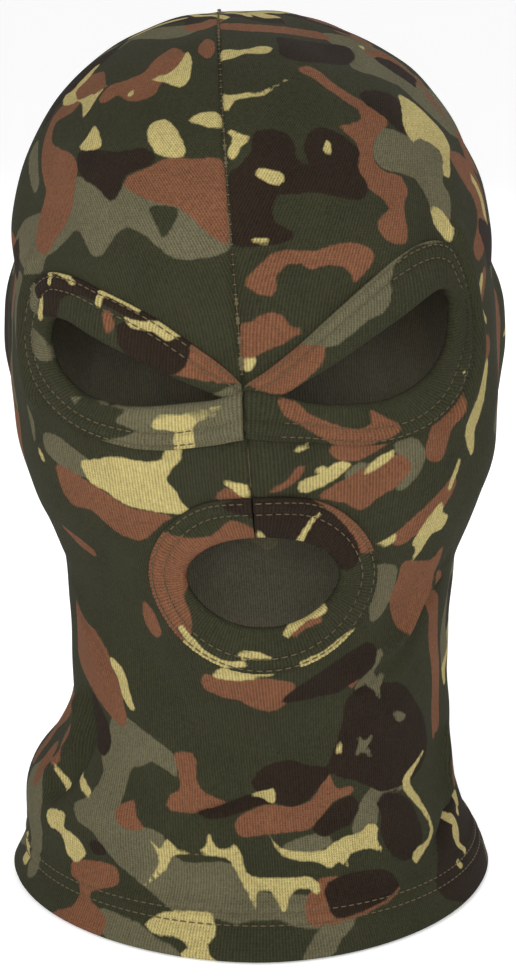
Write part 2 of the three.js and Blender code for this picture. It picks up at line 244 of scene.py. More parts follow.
CROWN_PATCHES = (  # above the mouth the two sides of the seam don't match
    (OLIVE, (-56, 251), (-40, 250), (-20, 246), (-1, 240), (-.5, 228), (-6, 225.5), (-14, 224.5),
     (-19, 227),
     (-23, 231), (-29, 234.5), (-34, 232), (-38, 226), (-42, 225), (-46, 231), (-49, 233.5), (-54, 230),
     (-60, 226), (-66, 223), (-70, 217), (-85, 216), (-95, 225), (-88, 235), (-78, 238), (-70, 240)),
    (OLIVE, (-18, 326), (-40, 330), (-100, 326), (-110, 318), (-70, 318), (-30, 317)),
    (OLIVE, (78, 310), (104, 301), (112, 290), (106, 281), (84, 280), (74, 284), (64, 289), (70, 296)),
    (OLIVE, (47, 256), (51, 261), (56, 264), (67, 260), (76, 260), (80, 252), (74, 246), (75, 240),
     (70, 232),
     (64, 231), (64, 240), (60, 247), (54, 249), (48, 251)),
    (OLIVE, (84, 281), (104, 278), (118, 268), (112, 258), (98, 260), (90, 268)),
    (OLIVE, (-68.5, 164), (-60.5, 164.5), (-50, 160.5), (-42, 154.5), (-55.5, 153), (-63, 156),
     (-68, 159)),
    (OLIVE, (41, 167), (47, 167), (51, 162), (49, 156), (44, 151), (41, 151), (44, 156), (45, 159),
     (41, 163)),
    (OLIVE, (26, 158), (31, 161), (37, 158), (33, 154.5), (27, 155)),
    (GREEN, (-23, 241), (-14, 240), (-17, 233), (-19, 231), (-21, 236)),
    (RUST, (-8, 312), (-3, 309), (-2.5, 301), (-6, 298), (-12, 303), (-11, 309)),
    (RUST, (-19, 302), (-24, 305), (-30, 307), (-37, 301), (-39, 294), (-48, 291), (-58, 289), (-60, 283),
     (-54, 281), (-48, 284), (-41, 281), (-34, 280), (-28, 282), (-26, 288), (-18, 292), (-15, 298)),
    (RUST, (-62, 290), (-78, 298), (-95, 295), (-104, 287), (-95, 285), (-80, 285), (-66, 286)),
    (RUST, (-18, 256.5), (-9, 256), (-2, 256), (-.5, 252), (-.5, 231), (-3, 230), (-6, 232.5), (-10, 237),
     (-15, 241), (-22, 242.5), (-29, 246), (-32, 248), (-31, 251), (-23, 254)),
    (RUST, (33, 288), (38, 289.5), (42, 287.5), (46, 281), (51, 276), (57, 271), (59, 265.5), (52, 262),
     (48, 258), (46.5, 253), (49, 249.5), (54, 248), (55, 243), (52, 239), (51, 233), (50, 228),
     (45, 227.5),
     (41, 231), (41.5, 235), (46, 238), (43.5, 242), (40, 245.5), (39, 252), (42, 257), (41, 261),
     (38, 264.5), (47, 266.5), (49.5, 270), (46, 274), (42, 278.5), (37.5, 284)),
    (RUST, (2.5, 217.5), (5, 221), (8, 224), (11, 226.5), (17, 227), (22, 226.5), (26.5, 228),
     (33, 228.5),
     (38, 225.5), (37, 221.5), (34, 218.5), (31.5, 216.5), (31, 219.5), (28.5, 222), (23, 222), (20, 221),
     (17.5, 223), (13.5, 222.5), (11, 219.5), (10, 213.5), (5.5, 214.5)),
    (RUST, (.5, 204), (4, 206), (8, 208.5), (12, 207.5), (13, 204.5), (17, 203), (12, 199.5),
     (6, 196.5), (.5, 194)),
    (RUST, (-63, 155), (-56, 154), (-50, 152), (-44, 149.5), (-37, 145.5), (-29, 144.5), (-23, 144),
     (-28, 140),
     (-32, 136), (-36, 134), (-42, 135), (-46, 138.5), (-51, 142.5), (-59, 142), (-63, 147)),
    (RUST, (-8, 154), (-5, 156), (-1.5, 152.5), (-.5, 149.5), (-5, 150), (-9, 151.5)),
    (RUST, (14, 162.5), (13.5, 159.5), (10, 156.5), (6, 154.5), (4.5, 156), (9, 158), (11, 161)),
    (RUST, (22, 167), (24, 162.5), (29, 161.5), (34, 163.5), (38, 166), (42, 168)),
    (RUST, (42, 162.5), (46, 158), (41, 152), (36, 149), (31, 145), (26, 148), (18, 151), (22, 154),
     (28, 157),
     (34, 160)),
    (BROWN, (-55, 260.5), (-46, 261), (-38, 260), (-31, 260), (-26, 260.5), (-22, 257), (-24, 254),
     (-32, 251.5),
     (-33, 247), (-36, 243), (-39, 244.5), (-43, 248), (-48, 250), (-53, 255)),
    (BROWN, (38, 309), (52, 306), (66, 304), (80, 300), (76, 295), (64, 291), (50, 291), (36, 292),
     (30, 297),
     (34, 303)),
    (BROWN, (58, 278), (66, 277.5), (72, 274), (69, 268), (67, 262), (62, 262.5), (58, 268), (54, 273),
     (54, 277)),
    (BROWN, (.5, 250), (4, 253), (8, 258), (9, 263), (13, 265), (19, 264), (21.5, 260), (21, 255),
     (24, 252),
     (24, 258), (27, 263), (31, 265), (36, 263), (40, 259.5), (42, 256), (39.5, 251), (41, 245),
     (37, 241),
     (31, 242), (24, 244), (17, 243.5), (13, 243), (11.5, 236), (17, 232), (13, 229), (1, 228.5),
     (.5, 235)),
    (YELLOW, (-18, 303), (-14, 297), (-14, 288), (-17, 285), (-23, 287), (-33, 290), (-24, 292),
     (-20, 297)),
    (YELLOW, (-58, 291), (-62, 286), (-62, 281), (-63, 275), (-68, 279), (-76, 283), (-90, 281),
     (-100, 285),
     (-92, 288), (-80, 284), (-70, 286), (-66, 286)),
    (YELLOW, (-53, 271), (-48, 267), (-45, 262), (-50, 261), (-56, 262), (-54, 266)),
    (YELLOW, (-8, 273), (-1, 272), (-.5, 267), (-5, 267), (-8, 268.5), (-12, 270)),
    (YELLOW, (-21.5, 271), (-26, 269), (-26, 264.5), (-24, 261), (-20.5, 257.5), (-13, 257), (-13, 261),
     (-16, 267),
     (-19.5, 270.5)),
    (YELLOW, (.5, 302), (6, 302.5), (12, 301.5), (24, 303), (29, 301), (24, 298), (19, 298), (13, 299),
     (8, 297),
     (2, 296), (.5, 298)),
    (YELLOW, (.5, 281), (2, 279), (9, 279), (15, 279.5), (20, 281.5), (28, 284.5), (20, 280.5),
     (16, 278), (9, 277),
     (5, 276.5), (3, 274), (2.5, 272.5), (.5, 274)),
    (YELLOW, (.5, 266), (5, 264), (8.5, 262), (5, 259.5), (4, 257), (2.5, 255.5), (1, 256), (.8, 259),
     (3, 261.5),
     (2, 263.5)),
    (YELLOW, (76, 276), (83, 273), (87, 268), (90, 261), (89, 256), (84, 252), (79, 246.5), (76, 248),
     (80, 254),
     (77, 258), (72, 260), (66, 259), (66, 265), (71, 271)),
    (YELLOW, (66, 238), (69, 236), (71, 231), (69, 226.5), (66, 228), (63.5, 233), (64, 237)),
    (YELLOW, (.5, 194), (4, 195), (3, 191.5), (1, 191)),
    (YELLOW, (-51, 158), (-44, 160), (-38, 161.5), (-30, 161), (-24, 162), (-22, 167), (-18, 166.5),
     (-18.5, 162.5),
     (-22, 158.5), (-23.5, 155), (-21, 152.5), (-20, 149), (-18, 146.5), (-22, 144.5), (-29, 145),
     (-37, 146),
     (-44, 150), (-49, 152)),
    (YELLOW, (-7, 158), (-3, 158), (-.5, 156.5), (-.5, 152), (-2.5, 154), (-4.5, 155.5)),
    (YELLOW, (13, 157.5), (18, 158.5), (23, 161.5), (28, 161), (24, 157), (18, 154), (13.5, 153),
     (12, 155)),
    (YELLOW, (59, 144), (61, 140), (65, 137.5), (64, 133), (59, 132.5), (57.5, 127), (55, 122.5),
     (54, 128),
     (51, 131), (53, 137), (55.5, 141)),
    (YELLOW, (35.5, 132.5), (41, 134), (42.5, 136), (44, 133.5), (41, 131.5)),
)
CROWN_STROKES = (
    (OLIVE, (-92, 211, 4), (-93, 198, 5.5), (-88, 186, 3)),
    (OLIVE, (-79, 171, .8), (-76, 166, 1.6), (-75, 161, .8)),
    (OLIVE, (-104, 262, 4), (-92, 255, 4), (-84, 249, 3)),
    (RUST, (-80, 282, 5), (-92, 275, 4), (-84, 263, 4), (-72, 256, 7), (-62, 250, 10), (-63, 242, 10),
     (-66, 236, 8), (-68, 230, 6)),
    (RUST, (4, 324, 3), (20, 322, 4), (42, 318, 4.5), (62, 314, 5), (76, 309, 4)),
    (RUST, (88, 252, 3), (97, 246, 7), (103, 237, 8), (98, 228, 6), (90, 222, 4)),
    (RUST, (63, 186, 2), (63, 176, 3.5), (58, 169, 4), (55, 162, 4)),
    (RUST, (96, 212, 3), (88, 206, 3)),
    (RUST, (88, 190, 3), (80, 184, 3)),
    (RUST, (63, 149, 2.5), (57, 143, 3.5), (51, 138, 3.5), (46, 134, 3), (43, 134, 1.5)),
    (RUST, (-72, 132, .8), (-66, 128, 2), (-61, 125, 1.5)),
    (YELLOW, (-41, 284, 1.3), (-40, 284, 1.3)),
    (YELLOW, (10, 250, 1.8), (14, 248.5, 2.2)),
    (YELLOW, (31.8, 259, 1), (31, 256.5, 1.2)),
    (YELLOW, (6, 230, .9), (9, 229.5, 1)),
    (YELLOW, (-72, 158, .9), (-70, 155.5, .9)),
    (YELLOW, (12.5, 167.2, .9), (15.5, 168, .8)),
    (YELLOW, (32, 157.5, .8), (36, 160.5, 1.4), (40, 163, 1)),
    (YELLOW, (18, 160.5, .7), (20, 160.3, .6)),
    (YELLOW, (86, 184, 1.5), (80, 174, 2.5), (72, 166, 3.5), (74, 158, 1.5)),
    (YELLOW, (66, 156, 1), (62, 148, 1)),
    (YELLOW, (92, 212, 1.5), (86, 204, 1.8), (90, 197, 1)),
)
NECK_PATCHES = (  # below the mouth the cloth runs across the middle unbroken
    (OLIVE, (36, 124), (42, 125), (48, 122), (47, 113), (42, 107), (37, 106), (36, 113)),
    (OLIVE, (-63, 69), (-54, 71), (-47, 69), (-38, 65), (-33, 61), (-34, 55), (-38, 57), (-43, 58.5),
     (-48, 56),
     (-53, 54), (-55, 47), (-56, 41), (-55, 36), (-46, 36.5), (-40, 35), (-38, 30), (-33, 26.5),
     (-26, 27),
     (-20, 27.5), (-15, 26), (-14, 20), (-6, 18), (4, 17), (12, 16), (14, 12), (10, 8), (2, 9), (-8, 8),
     (-16, 10), (-24, 11), (-30, 9), (-36, 12), (-46, 17), (-56, 22), (-62, 27), (-66, 31), (-74, 33),
     (-77, 38), (-70, 42), (-66, 50), (-70, 58), (-66, 63)),
    (OLIVE, (27, 34), (29, 42), (34, 48), (42, 52), (49, 50), (54, 46), (48, 45), (40, 44), (38, 38),
     (36, 34)),
    (OLIVE, (1, 33), (8, 35.5), (16, 36), (19, 33), (14, 30), (6, 29), (2, 29.5)),
    (OLIVE, (-60, 8), (-46, 7), (-38, 4), (-31, 2), (-33, -2), (-44, -2), (-54, 0), (-58, 4)),
    (OLIVE, (4, 0), (8, 6), (16, 11), (24, 13), (22, 8), (16, 4), (10, -2)),
    (GREEN, (-14, 10), (-4, 11), (2, 9), (4, 4), (-2, -1), (-14, -1), (-12, 3), (-14, 6)),
    (RUST, (50, 124), (56, 123), (66, 122), (70, 126), (73, 118), (70, 108), (66, 101), (60, 96),
     (52, 100),
     (48, 106), (46, 112), (49, 118)),
    (RUST, (-41, 112), (-36, 110), (-33, 104), (-36, 101), (-40, 103), (-42, 107)),
    (RUST, (-18, 92.5), (-8, 92), (0, 92.5), (8, 90.5), (8, 86.5), (5, 82), (0, 80), (-5, 81.5), (-9, 84),
     (-14, 84.5), (-20, 87), (-20, 90.5)),
    (RUST, (-100, 100), (-90, 101), (-80, 99), (-69, 97), (-61, 91), (-58, 83), (-54, 73), (-56, 67),
     (-61, 68),
     (-68, 71), (-76, 75), (-86, 78), (-98, 84)),
    (RUST, (-33.5, 63), (-26.5, 63), (-27, 55), (-25, 51), (-17, 48.5), (-22, 45), (-30, 43), (-38, 44),
     (-37, 48),
     (-33, 51), (-33, 57)),
    (RUST, (-57, 41), (-51, 44.5), (-49.5, 40), (-46.5, 36), (-52, 35), (-56.5, 37)),
    (RUST, (-14, 42), (-8, 45), (-2, 47), (5, 46), (11, 47), (15, 51), (17, 56.5), (19, 57), (21.5, 51),
     (28, 50.5), (28, 48.5), (21, 46.5), (16, 42), (11, 38), (4, 37.5), (-5, 37), (-13, 36), (-15, 39)),
    (RUST, (-76, 19), (-67, 21), (-58, 21.5), (-56, 16), (-65, 12), (-65, 9), (-57, 6), (-57, 1),
     (-66, -2),
     (-80, 0), (-71, 6), (-71, 12), (-76, 15)),
    (RUST, (13, 21), (20, 21), (16, 16), (14, 9.5), (7.5, 9), (6.5, 14), (9, 17.5)),
    (BROWN, (4, 83), (8, 88), (14, 91.5), (22, 95), (28, 97), (36, 99), (40, 96), (36, 90), (30, 87),
     (24, 84),
     (16, 83.5), (10, 83)),
    (BROWN, (27, 81), (34, 83), (40, 84), (48, 83), (55, 80), (62, 73), (68, 66), (70, 56), (64, 50),
     (56, 47),
     (48, 46.5), (40, 47), (34, 50), (28, 53), (22, 55), (19, 60), (22, 66), (25, 72)),
    (BROWN, (-8, 55), (-3, 60), (5, 62), (12, 60), (20, 58), (15, 52), (11, 48), (6, 46), (1, 47),
     (-4, 50)),
    (BROWN, (-84, 73), (-76, 74), (-70, 70), (-66, 66), (-64, 60), (-67, 55), (-73, 57), (-76, 62),
     (-82, 66)),
    (BROWN, (-28, 44), (-20, 46), (-12, 50), (-8, 51.5), (-2, 50), (-1, 47.5), (-8, 45.5), (-16, 42.5),
     (-24, 41)),
    (BROWN, (12, 38), (16, 42), (21, 46), (28, 47.5), (30, 43), (26, 38), (20, 36), (16, 34.5)),
    (BROWN, (38, 44), (44, 45.5), (52, 43), (58, 38), (62, 30), (61, 24), (54, 21), (47, 22), (42, 26),
     (39, 33),
     (40, 38)),
    (BROWN, (14, 18), (20, 21), (30, 21.5), (40, 20), (44, 15), (36, 12), (26, 10.5), (16, 10)),
    (BROWN, (62, 12), (72, 18), (84, 24), (100, 30), (118, 30), (124, 16), (118, 4), (100, -2),
     (84, -2), (74, 2),
     (64, 6)),
    (YELLOW, (-60, 90), (-54, 86.5), (-51, 80), (-49, 74.5), (-52.5, 75), (-57, 81)),
    (YELLOW, (-12.5, 95.5), (-4, 94.5), (2, 94), (-2, 92.5), (-9, 91.5), (-16, 92)),
    (YELLOW, (-9, 51), (-1, 53), (-1, 47.5), (-5, 48.5)),
    (YELLOW, (-4, 37), (-1, 33), (4, 31), (14, 30), (19, 32), (24, 34), (30, 34.5), (34, 37), (38, 35),
     (37, 31),
     (39.5, 26), (34, 28.5), (28, 28.5), (24, 27), (24.5, 23), (20.5, 26), (17, 24), (13, 26.5),
     (5, 28), (0, 30)),
    (YELLOW, (-44.5, 32.5), (-41, 30), (-38.5, 34), (-36, 31), (-30, 30.5), (-26, 32), (-24, 36.5),
     (-22, 32),
     (-18, 32), (-15.5, 33.5), (-13.5, 30), (-12.5, 24), (-8, 22.5), (1, 22), (9, 22), (12.5, 19.5),
     (12, 16.5),
     (8, 18.5), (4, 18.5), (1.5, 16), (-.5, 12.5), (-2.5, 16), (-5, 18.5), (-9, 18), (-9.5, 14),
     (-11.5, 17),
     (-14, 20.5), (-16, 25.5), (-19, 29), (-26, 29.5), (-33, 29.5), (-37.5, 27.5), (-40, 23), (-47, 17),
     (-42.5, 23.5), (-42, 28)),
    (YELLOW, (-91, 32), (-81, 33.5), (-80.5, 29), (-74, 27), (-70.5, 22.5), (-75, 18.5), (-79.5, 21),
     (-82, 26.5),
     (-89, 27)),
    (YELLOW, (-38, 11), (-28, 12.5), (-23, 12), (-21, 7), (-23, 4), (-21, 1), (-18, -2), (-28, -2),
     (-30, 1),
     (-28.5, 3.5), (-33, 5.5), (-38, 5), (-43, 7)),
)
NECK_STROKES = (
    (RUST, (76, 114, 2), (79, 100, 3.5), (81, 84, 4), (80, 66, 3.5), (78, 58, 1.5)),
    (FLECK, (30, 62, .8), (33, 64, 1.2), (37, 66.5, .6)),
    (FLECK, (31, 67.5, .5), (33, 64, 1.2), (36, 60, .7)),
    (FLECK, (48, 72.5, .8), (51, 70.5, 1.7), (54, 70, .9)),
    (FLECK, (36, 86, 1), (40, 83, 1.5), (44, 86, .7)),
    (FLECK, (40, 83, 1.3), (41, 79, .7)),
    (OLIVE, (34, 96, .8), (36.5, 90, 2), (33, 82, 1.6)),
    (OLIVE, (41, 95, 1), (37, 90, 2), (42, 80.5, 1.8)),
    (OLIVE, (28, 69, .8), (32, 65, 1.5), (36, 60, 1.2)),
    (OLIVE, (35.5, 70, 1), (32, 65, 1.5), (29, 61, .8)),
    (OLIVE, (40, 77, .8), (45, 72, 2), (48, 69, 2.2)),
    (RUST, (27, 88, 1.5), (30, 86, 2)),
    (RUST, (82, 104, 3), (80, 96, 5), (82, 84, 5), (84, 72, 5), (82, 62, 4)),
    (RUST, (-104, 52, 4), (-96, 48, 4)),
    (RUST, (-112, 44, 4), (-108, 38, 4)),
    (RUST, (14, 9.5, 1), (24, 10.8, 1.5), (34, 12.5, 1.7), (42, 14, 1.2)),
    (BROWN, (-66, 26, 2.5), (-63, 26, 2)),
    (YELLOW, (23.5, 66, 1), (23, 63.5, 1.1)),
    (YELLOW, (66, 55, .5), (58, 51, 1), (53.5, 47.5, 2), (56, 43.5, 1.8), (62, 38.5, 1.5), (67, 33, 1.2),
     (69.5, 27, 1), (65, 23.5, .9), (59, 22, 1.8), (56, 21, 2)),
    (YELLOW, (-81.5, 47.5, .7), (-76, 44.5, 1.3), (-71, 42.5, 1.3)),
    (YELLOW, (-94, 44, .8), (-88, 41, 1.5)),
    (YELLOW, (92, 26, 2), (96, 22, 2.5), (90, 18, 2), (92, 14, 1.5)),
    (YELLOW, (82, 12, 1.5), (83, 12, 1.5)),
    (YELLOW, (104, 24, 1.5), (105, 24, 1.5)),
)
LEFT_EYE_PATCHES = (
    (OLIVE, (-51, 179), (-44, 179), (-38, 178), (-40, 172), (-46, 167), (-55, 162.5), (-48, 170),
     (-47, 174)),
    (OLIVE, (-75, 213), (-68, 213), (-66, 206), (-69, 202), (-74, 204)),
    (OLIVE, (-73, 197), (-66, 195.5), (-61, 189), (-66, 188), (-72, 191)),
    (OLIVE, (1, 187), (-5, 185.5), (-11, 182), (-20, 181), (-32, 180), (-40, 176), (-46, 172), (-44, 166),
     (-30, 163), (-14, 166), (1, 170)),
    (GREEN, (-46, 180), (-40, 178), (-33, 177), (-36, 173), (-30, 171), (-36, 168), (-46, 166),
     (-52, 172)),
    (BROWN, (-70, 224), (-58, 223), (-40, 218), (-24, 210), (-14, 205), (-20, 203.5), (-30, 206),
     (-40, 210), (-50, 211.5), (-56, 209), (-58, 203), (-66, 203), (-72, 214)),
    (BROWN, (-34, 203), (-28, 205), (-20, 205), (-13, 202), (-13, 196), (-16, 190), (-24, 189),
     (-31, 194), (-34, 198)),
    (RUST, (-14, 199), (-10, 202), (-4, 197), (1, 192), (0, 188), (-6, 187.5), (-13, 188.5), (-19, 190),
     (-15, 193), (-13, 196)),
    (YELLOW, (-31.5, 206), (-26.5, 205), (-21, 205.5), (-12, 205), (-9.5, 202.5), (-15.5, 201),
     (-19, 199.5), (-23, 202), (-29, 202.5)),
    (YELLOW, (-25.5, 174), (-23, 176.5), (-17, 177), (-11, 179), (-5.5, 181), (-6.5, 178.5),
     (-10.5, 176.5), (-13.5, 174), (-14, 166), (-19.5, 166), (-19, 171.5), (-24, 172)),
)
LEFT_EYE_STROKES = (
    (RUST, (-37, 206, 1.6), (-36, 201, 2)),
    (YELLOW, (-63, 219.5, 1.5), (-57, 219, 1.3), (-50, 215.5, .9)),
    (YELLOW, (-61.5, 219, 1.1), (-61.5, 214.5, 1.2)),
    (YELLOW, (-40, 209, 1), (-38, 213.5, 1.2), (-32, 211.5, 1), (-27, 208.5, .8)),
    (YELLOW, (-66, 208, 1), (-66.5, 202, 1.7)),
)
RIGHT_EYE_PATCHES = (
    (OLIVE, (14, 199), (20, 205), (28, 211), (34, 217), (39, 222), (44, 228), (52, 232), (62, 233),
     (72, 228), (62, 226.5), (52, 226), (44, 221), (42, 214), (44, 208), (36, 206), (30, 202), (24, 198)),
    (RUST, (-.5, 190), (3, 195), (8, 199), (14, 203), (19, 206), (17, 201), (13, 199.5), (18, 198.5),
     (24, 197), (21, 193), (16, 188), (11, 184.5), (5, 185.5), (.5, 188)),
    (RUST, (8.5, 183), (13, 182), (16, 178), (22, 174.5), (28, 172), (33, 173), (33, 177.5), (37, 175),
     (42, 171.5), (38, 168), (28, 166), (22, 168), (16, 173), (10, 178)),
)
RIGHT_EYE_STROKES = ((YELLOW, (66, 186, .6), (67, 183, .6)),)
MOUTH_PATCHES = (
    (RUST, (-34, 136), (-30, 139.5), (-25, 138), (-20, 137), (-12, 138.5), (-6, 144.5), (-1, 143),
     (1, 139), (-6, 134), (-14, 131), (-19, 128), (-20, 124), (-22, 118), (-20, 111), (-22, 104),
     (-26, 101), (-32, 106), (-36, 112), (-40, 122), (-38, 131)),
    (RUST, (17, 152), (27, 149), (34, 141), (38, 132), (31, 131), (28, 136), (25, 141.5), (21, 145),
     (16, 147)),
    (BROWN, (-8, 149), (-2, 153), (12, 153), (18, 149), (24, 143), (30, 134), (30, 128), (25, 126),
     (20, 133), (12, 136), (4, 137), (0, 140), (0, 146)),
    (YELLOW, (-7.5, 102), (-2, 102.5), (2, 100), (-2, 99.5), (-6, 100)),
    (YELLOW, (31, 106), (26, 101.5), (19, 97.5), (12, 95), (10, 98), (17, 101), (24, 105)),
)
MOUTH_STROKES = (
    (RUST, (15.5, 112, 1.5), (11, 110.5, 1.5), (7, 106, 1)),
    (YELLOW, (-38, 130, .9), (-39, 122, 1.3), (-37, 115, 1.4), (-35, 111, .9)),
    (YELLOW, (-24, 107.5, 1), (-21.5, 103.5, 1.8), (-18, 100, 2), (-12, 97.5, 1.3), (-6, 98, 1)),
    (YELLOW, (-23.5, 102, 1), (-20, 98.5, 1.5)),
    (YELLOW, (17, 117, 1), (17, 114.5, 1.5), (12, 113, 1.3), (8, 109.5, 1.2), (6, 107, .8)),
    (YELLOW, (12, 136, 1), (15, 142, .7), (18, 145.5, .4)),
    (YELLOW, (1, 142, .8), (2, 137, 1)),
)
# Folds in the cloth: height (below zero for a crease), half width, then the line along it.
FOLDS = (
    (1.1, 3.2, (84, 116), (70, 109), (58, 99.5), (44, 93.5), (31, 89)),
    (-1.2, 3.2, (84, 110), (72, 104), (60, 95), (46, 88.5), (33, 84)),
    (0.9, 3.6, (-94, 107), (-82, 102), (-69, 95.5), (-60, 88)),
    (-1.0, 3.8, (-94, 100), (-84, 96), (-71, 90), (-62, 82)),
    (-2.6, 3.2, (104, 34), (84, 25), (72, 19), (58, 15), (42, 12.5)),
    (1.4, 3, (-28, 46), (-16, 50), (-4, 54)),
    (-1.2, 3.2, (-28, 41), (-16, 44.5), (-6, 48)),
    (1.6, 2, (90, 54), (92, 42), (90, 30)),
    (-1.6, 2.4, (95, 54), (97, 42), (95, 32)),
    (-2.2, 4, (-84, 70), (-80, 58), (-84, 47), (-92, 38)),
    (1.8, 4, (-92, 66), (-90, 54), (-98, 42)),
    (1.8, 3.6, (74, 228), (80, 214), (80, 198), (74, 182), (66, 172)),
    (1.8, 3.6, (-76, 220), (-82, 206), (-80, 190), (-72, 176)),
)


# ======== drawing on the flat pattern ========
PRINT_REACH = 6.0  # no dye edge matters further away than this
FREE_PRINT_FROM = 96  # further round than this, the print is scattered instead of drawn


def smooth_line(points, closed, steps=4):
    """The curve through all the points of a drawn line or outline."""
    points = np.array(points, float)
    count = len(points)
    if closed:
        ring = np.arange(count)
        before, after, beyond = points[ring - 1], points[(ring + 1) % count], points[(ring + 2) % count]
        start = points
    else:
        padded = np.vstack([2 * points[0] - points[1], points, 2 * points[-1] - points[-2]])
        before, start, after, beyond = padded[:-3], padded[1:-2], padded[2:-1], padded[3:]
    t = (np.arange(steps) / steps)[:, None, None]
    bend = 0.42  # a little tighter than a full spline, so that spikes stay sharp
    curve = (start * (2 * t ** 3 - 3 * t ** 2 + 1) + after * (3 * t ** 2 - 2 * t ** 3)
             + bend * (after - before) * (t ** 3 - 2 * t ** 2 + t)
             + bend * (beyond - start) * (t ** 3 - t ** 2))
    curve = curve.transpose(1, 0, 2).reshape(-1, points.shape[1])
    return curve if closed else np.vstack([curve, points[-1:]])


def to_line(at, start, end):
    """Distance from each point to each straight piece, and how far along it the nearest spot is."""
    along = end - start
    offset = at[:, None] - start
    share = (offset * along).sum(-1) / np.maximum((along ** 2).sum(-1), 1e-9)
    share = np.clip(share, 0, 1)
    return np.linalg.norm(offset - along * share[..., None], axis=-1), share


def patch_distance(at, outline):
    start, end = outline, np.roll(outline, -1, axis=0)
    distance = to_line(at, start, end)[0].min(1)
    x, z = at[:, :1], at[:, 1:]
    rise = end[:, 1] - start[:, 1]
    rise = np.where(np.abs(rise) < 1e-9, 1e-9, rise)
    spans = (start[:, 1] > z) != (end[:, 1] > z)
    crossings = spans & (x < (end[:, 0] - start[:, 0]) * (z - start[:, 1]) / rise + start[:, 0])
    return np.where(crossings.sum(1) % 2 == 1, -distance, distance)


def stroke_distance(at, line, widths):
    distance, share = to_line(at, line[:-1], line[1:])
    return (distance - (widths[:-1] + (widths[1:] - widths[:-1]) * share)).min(1)


def dye_cloth(dyes, at, side, patches, strokes):
    """Lowers each dye's distance wherever a drawn patch or stroke is nearer. Side keeps to one half."""
    for closed, shapes in ((True, patches), (False, strokes)):
        for dye, *points in shapes:
            curve = smooth_line(points, closed)
            low, high = curve[:, :2].min(0) - PRINT_REACH - 4, curve[:, :2].max(0) + PRINT_REACH + 4
            near = ((at > low) & (at < high)).all(1)
            if side is not None:
                near &= side * curve[:, 0].mean() > 0
            if not near.any():
                continue
            if closed:
                distance = patch_distance(at[near], curve)
            else:
                distance = stroke_distance(at[near], curve[:, :2], curve[:, 2])
            dyes[dye][near] = np.minimum(dyes[dye][near], distance)


def no_dyes(count):
    return {dye: np.full(count, PRINT_REACH) for dye in DYES}


# Dye, number of patches, smallest and largest half width, and turns in each patch.
SCATTERED = (
    (OLIVE, 38, 6, 12, 4), (RUST, 46, 4, 8.5, 5), (BROWN, 46, 4.5, 9.5, 4), (YELLOW, 60, 1.2, 3.4, 4),
)


def scatter_dyes(dyes, points, free, seed):
    """Wandering patches over the sides, back and top of the hood, where free is above zero."""
    random = np.random.default_rng(seed)
    start_at = points[free > 4]
    for dye, count, low, high, steps in SCATTERED:
        for _ in range(count):
            here = start_at[random.integers(len(start_at))]
            heading = random.normal(size=3)
            line, widths = [], []
            for _ in range(steps):
                line.append(here)
                widths.append(random.uniform(low, high))
                heading = heading / np.linalg.norm(heading) + 0.55 * random.normal(size=3)
                aim = here + heading / np.linalg.norm(heading) * random.uniform(0.9, 1.6) * (high + 3)
                here = points[np.argmin(((points - aim) ** 2).sum(1))]
            widths[0] *= 0.4
            widths[-1] *= 0.5
            line, widths = np.array(line), np.array(widths)
            near = (np.abs(points - line.mean(0)) < 60).all(1)
            distance = stroke_distance(points[near], line, widths)
            dyes[dye][near] = np.minimum(dyes[dye][near], np.maximum(distance, 1.5 - free[near]))


def pattern_place(points):
    """Where points of the cloth lie on the flat pattern."""
    x, y, z = points[..., 0], points[..., 1], points[..., 2]
    lift = z - DOME_Z * GRADE[2]
    low_turn = np.arctan2(x - seam_x(z), -y)
    level_x = x - seam_x(DOME_Z * GRADE[2]) + SEAM_TILT * lift
    high_turn = np.arctan2(level_x, -y)
    rise = np.arctan2(lift, np.hypot(level_x, y)) / (math.pi / 2) * DOME_ARC
    across = np.where(lift < 0, low_turn, high_turn) * TURN_RADIUS
    return np.stack([across, np.where(lift < 0, z / GRADE[2], DOME_Z + rise)], -1)


# ======== meshes ========
def make_piece(name, points, faces, materials, floats=()):
    """A new object from points in millimetres, with one number at each point for each named float."""
    mesh = bpy.data.meshes.new(name)
    mesh.from_pydata((np.asarray(points) * MM).tolist(), [], faces)
    for material in materials:
        mesh.materials.append(material)
    for key, values in dict(floats).items():
        attribute = mesh.attributes.new(key, "FLOAT", "POINT")
        attribute.data.foreach_set("value", np.asarray(values, np.float32))
    mesh.polygons.foreach_set("use_smooth", [True] * len(mesh.polygons))
    mesh.validate()
    piece = bpy.data.objects.new(name, mesh)
    bpy.context.scene.collection.objects.link(piece)
    return piece


def settle(piece, kind, **settings):
    """Adds a modifier and makes its result the piece's own mesh."""
    modifier = piece.modifiers.new(kind.title(), kind)
    for key, value in settings.items():
        setattr(modifier, key, value)
    graph = bpy.context.evaluated_depsgraph_get()
    mesh = bpy.data.meshes.new_from_object(piece.evaluated_get(graph))
    piece.modifiers.clear()
    old = piece.data
    piece.data = mesh
    bpy.data.meshes.remove(old)


def sew_on(piece, slot, *nodes):
    """The piece moves with the hood and stands for the frame's nodes; the slot is not used."""
    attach(piece, "root")
    if nodes:
        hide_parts(*nodes)


def grid_faces(index, flip=False):
    """Four-cornered faces between the points of a grid, given as their numbers."""
    a, b = index[:-1, :-1], index[:-1, 1:]
    c, d = index[1:, 1:], index[1:, :-1]
    return np.stack([a, d, c, b] if flip else [a, b, c, d], -1).reshape(-1, 4)


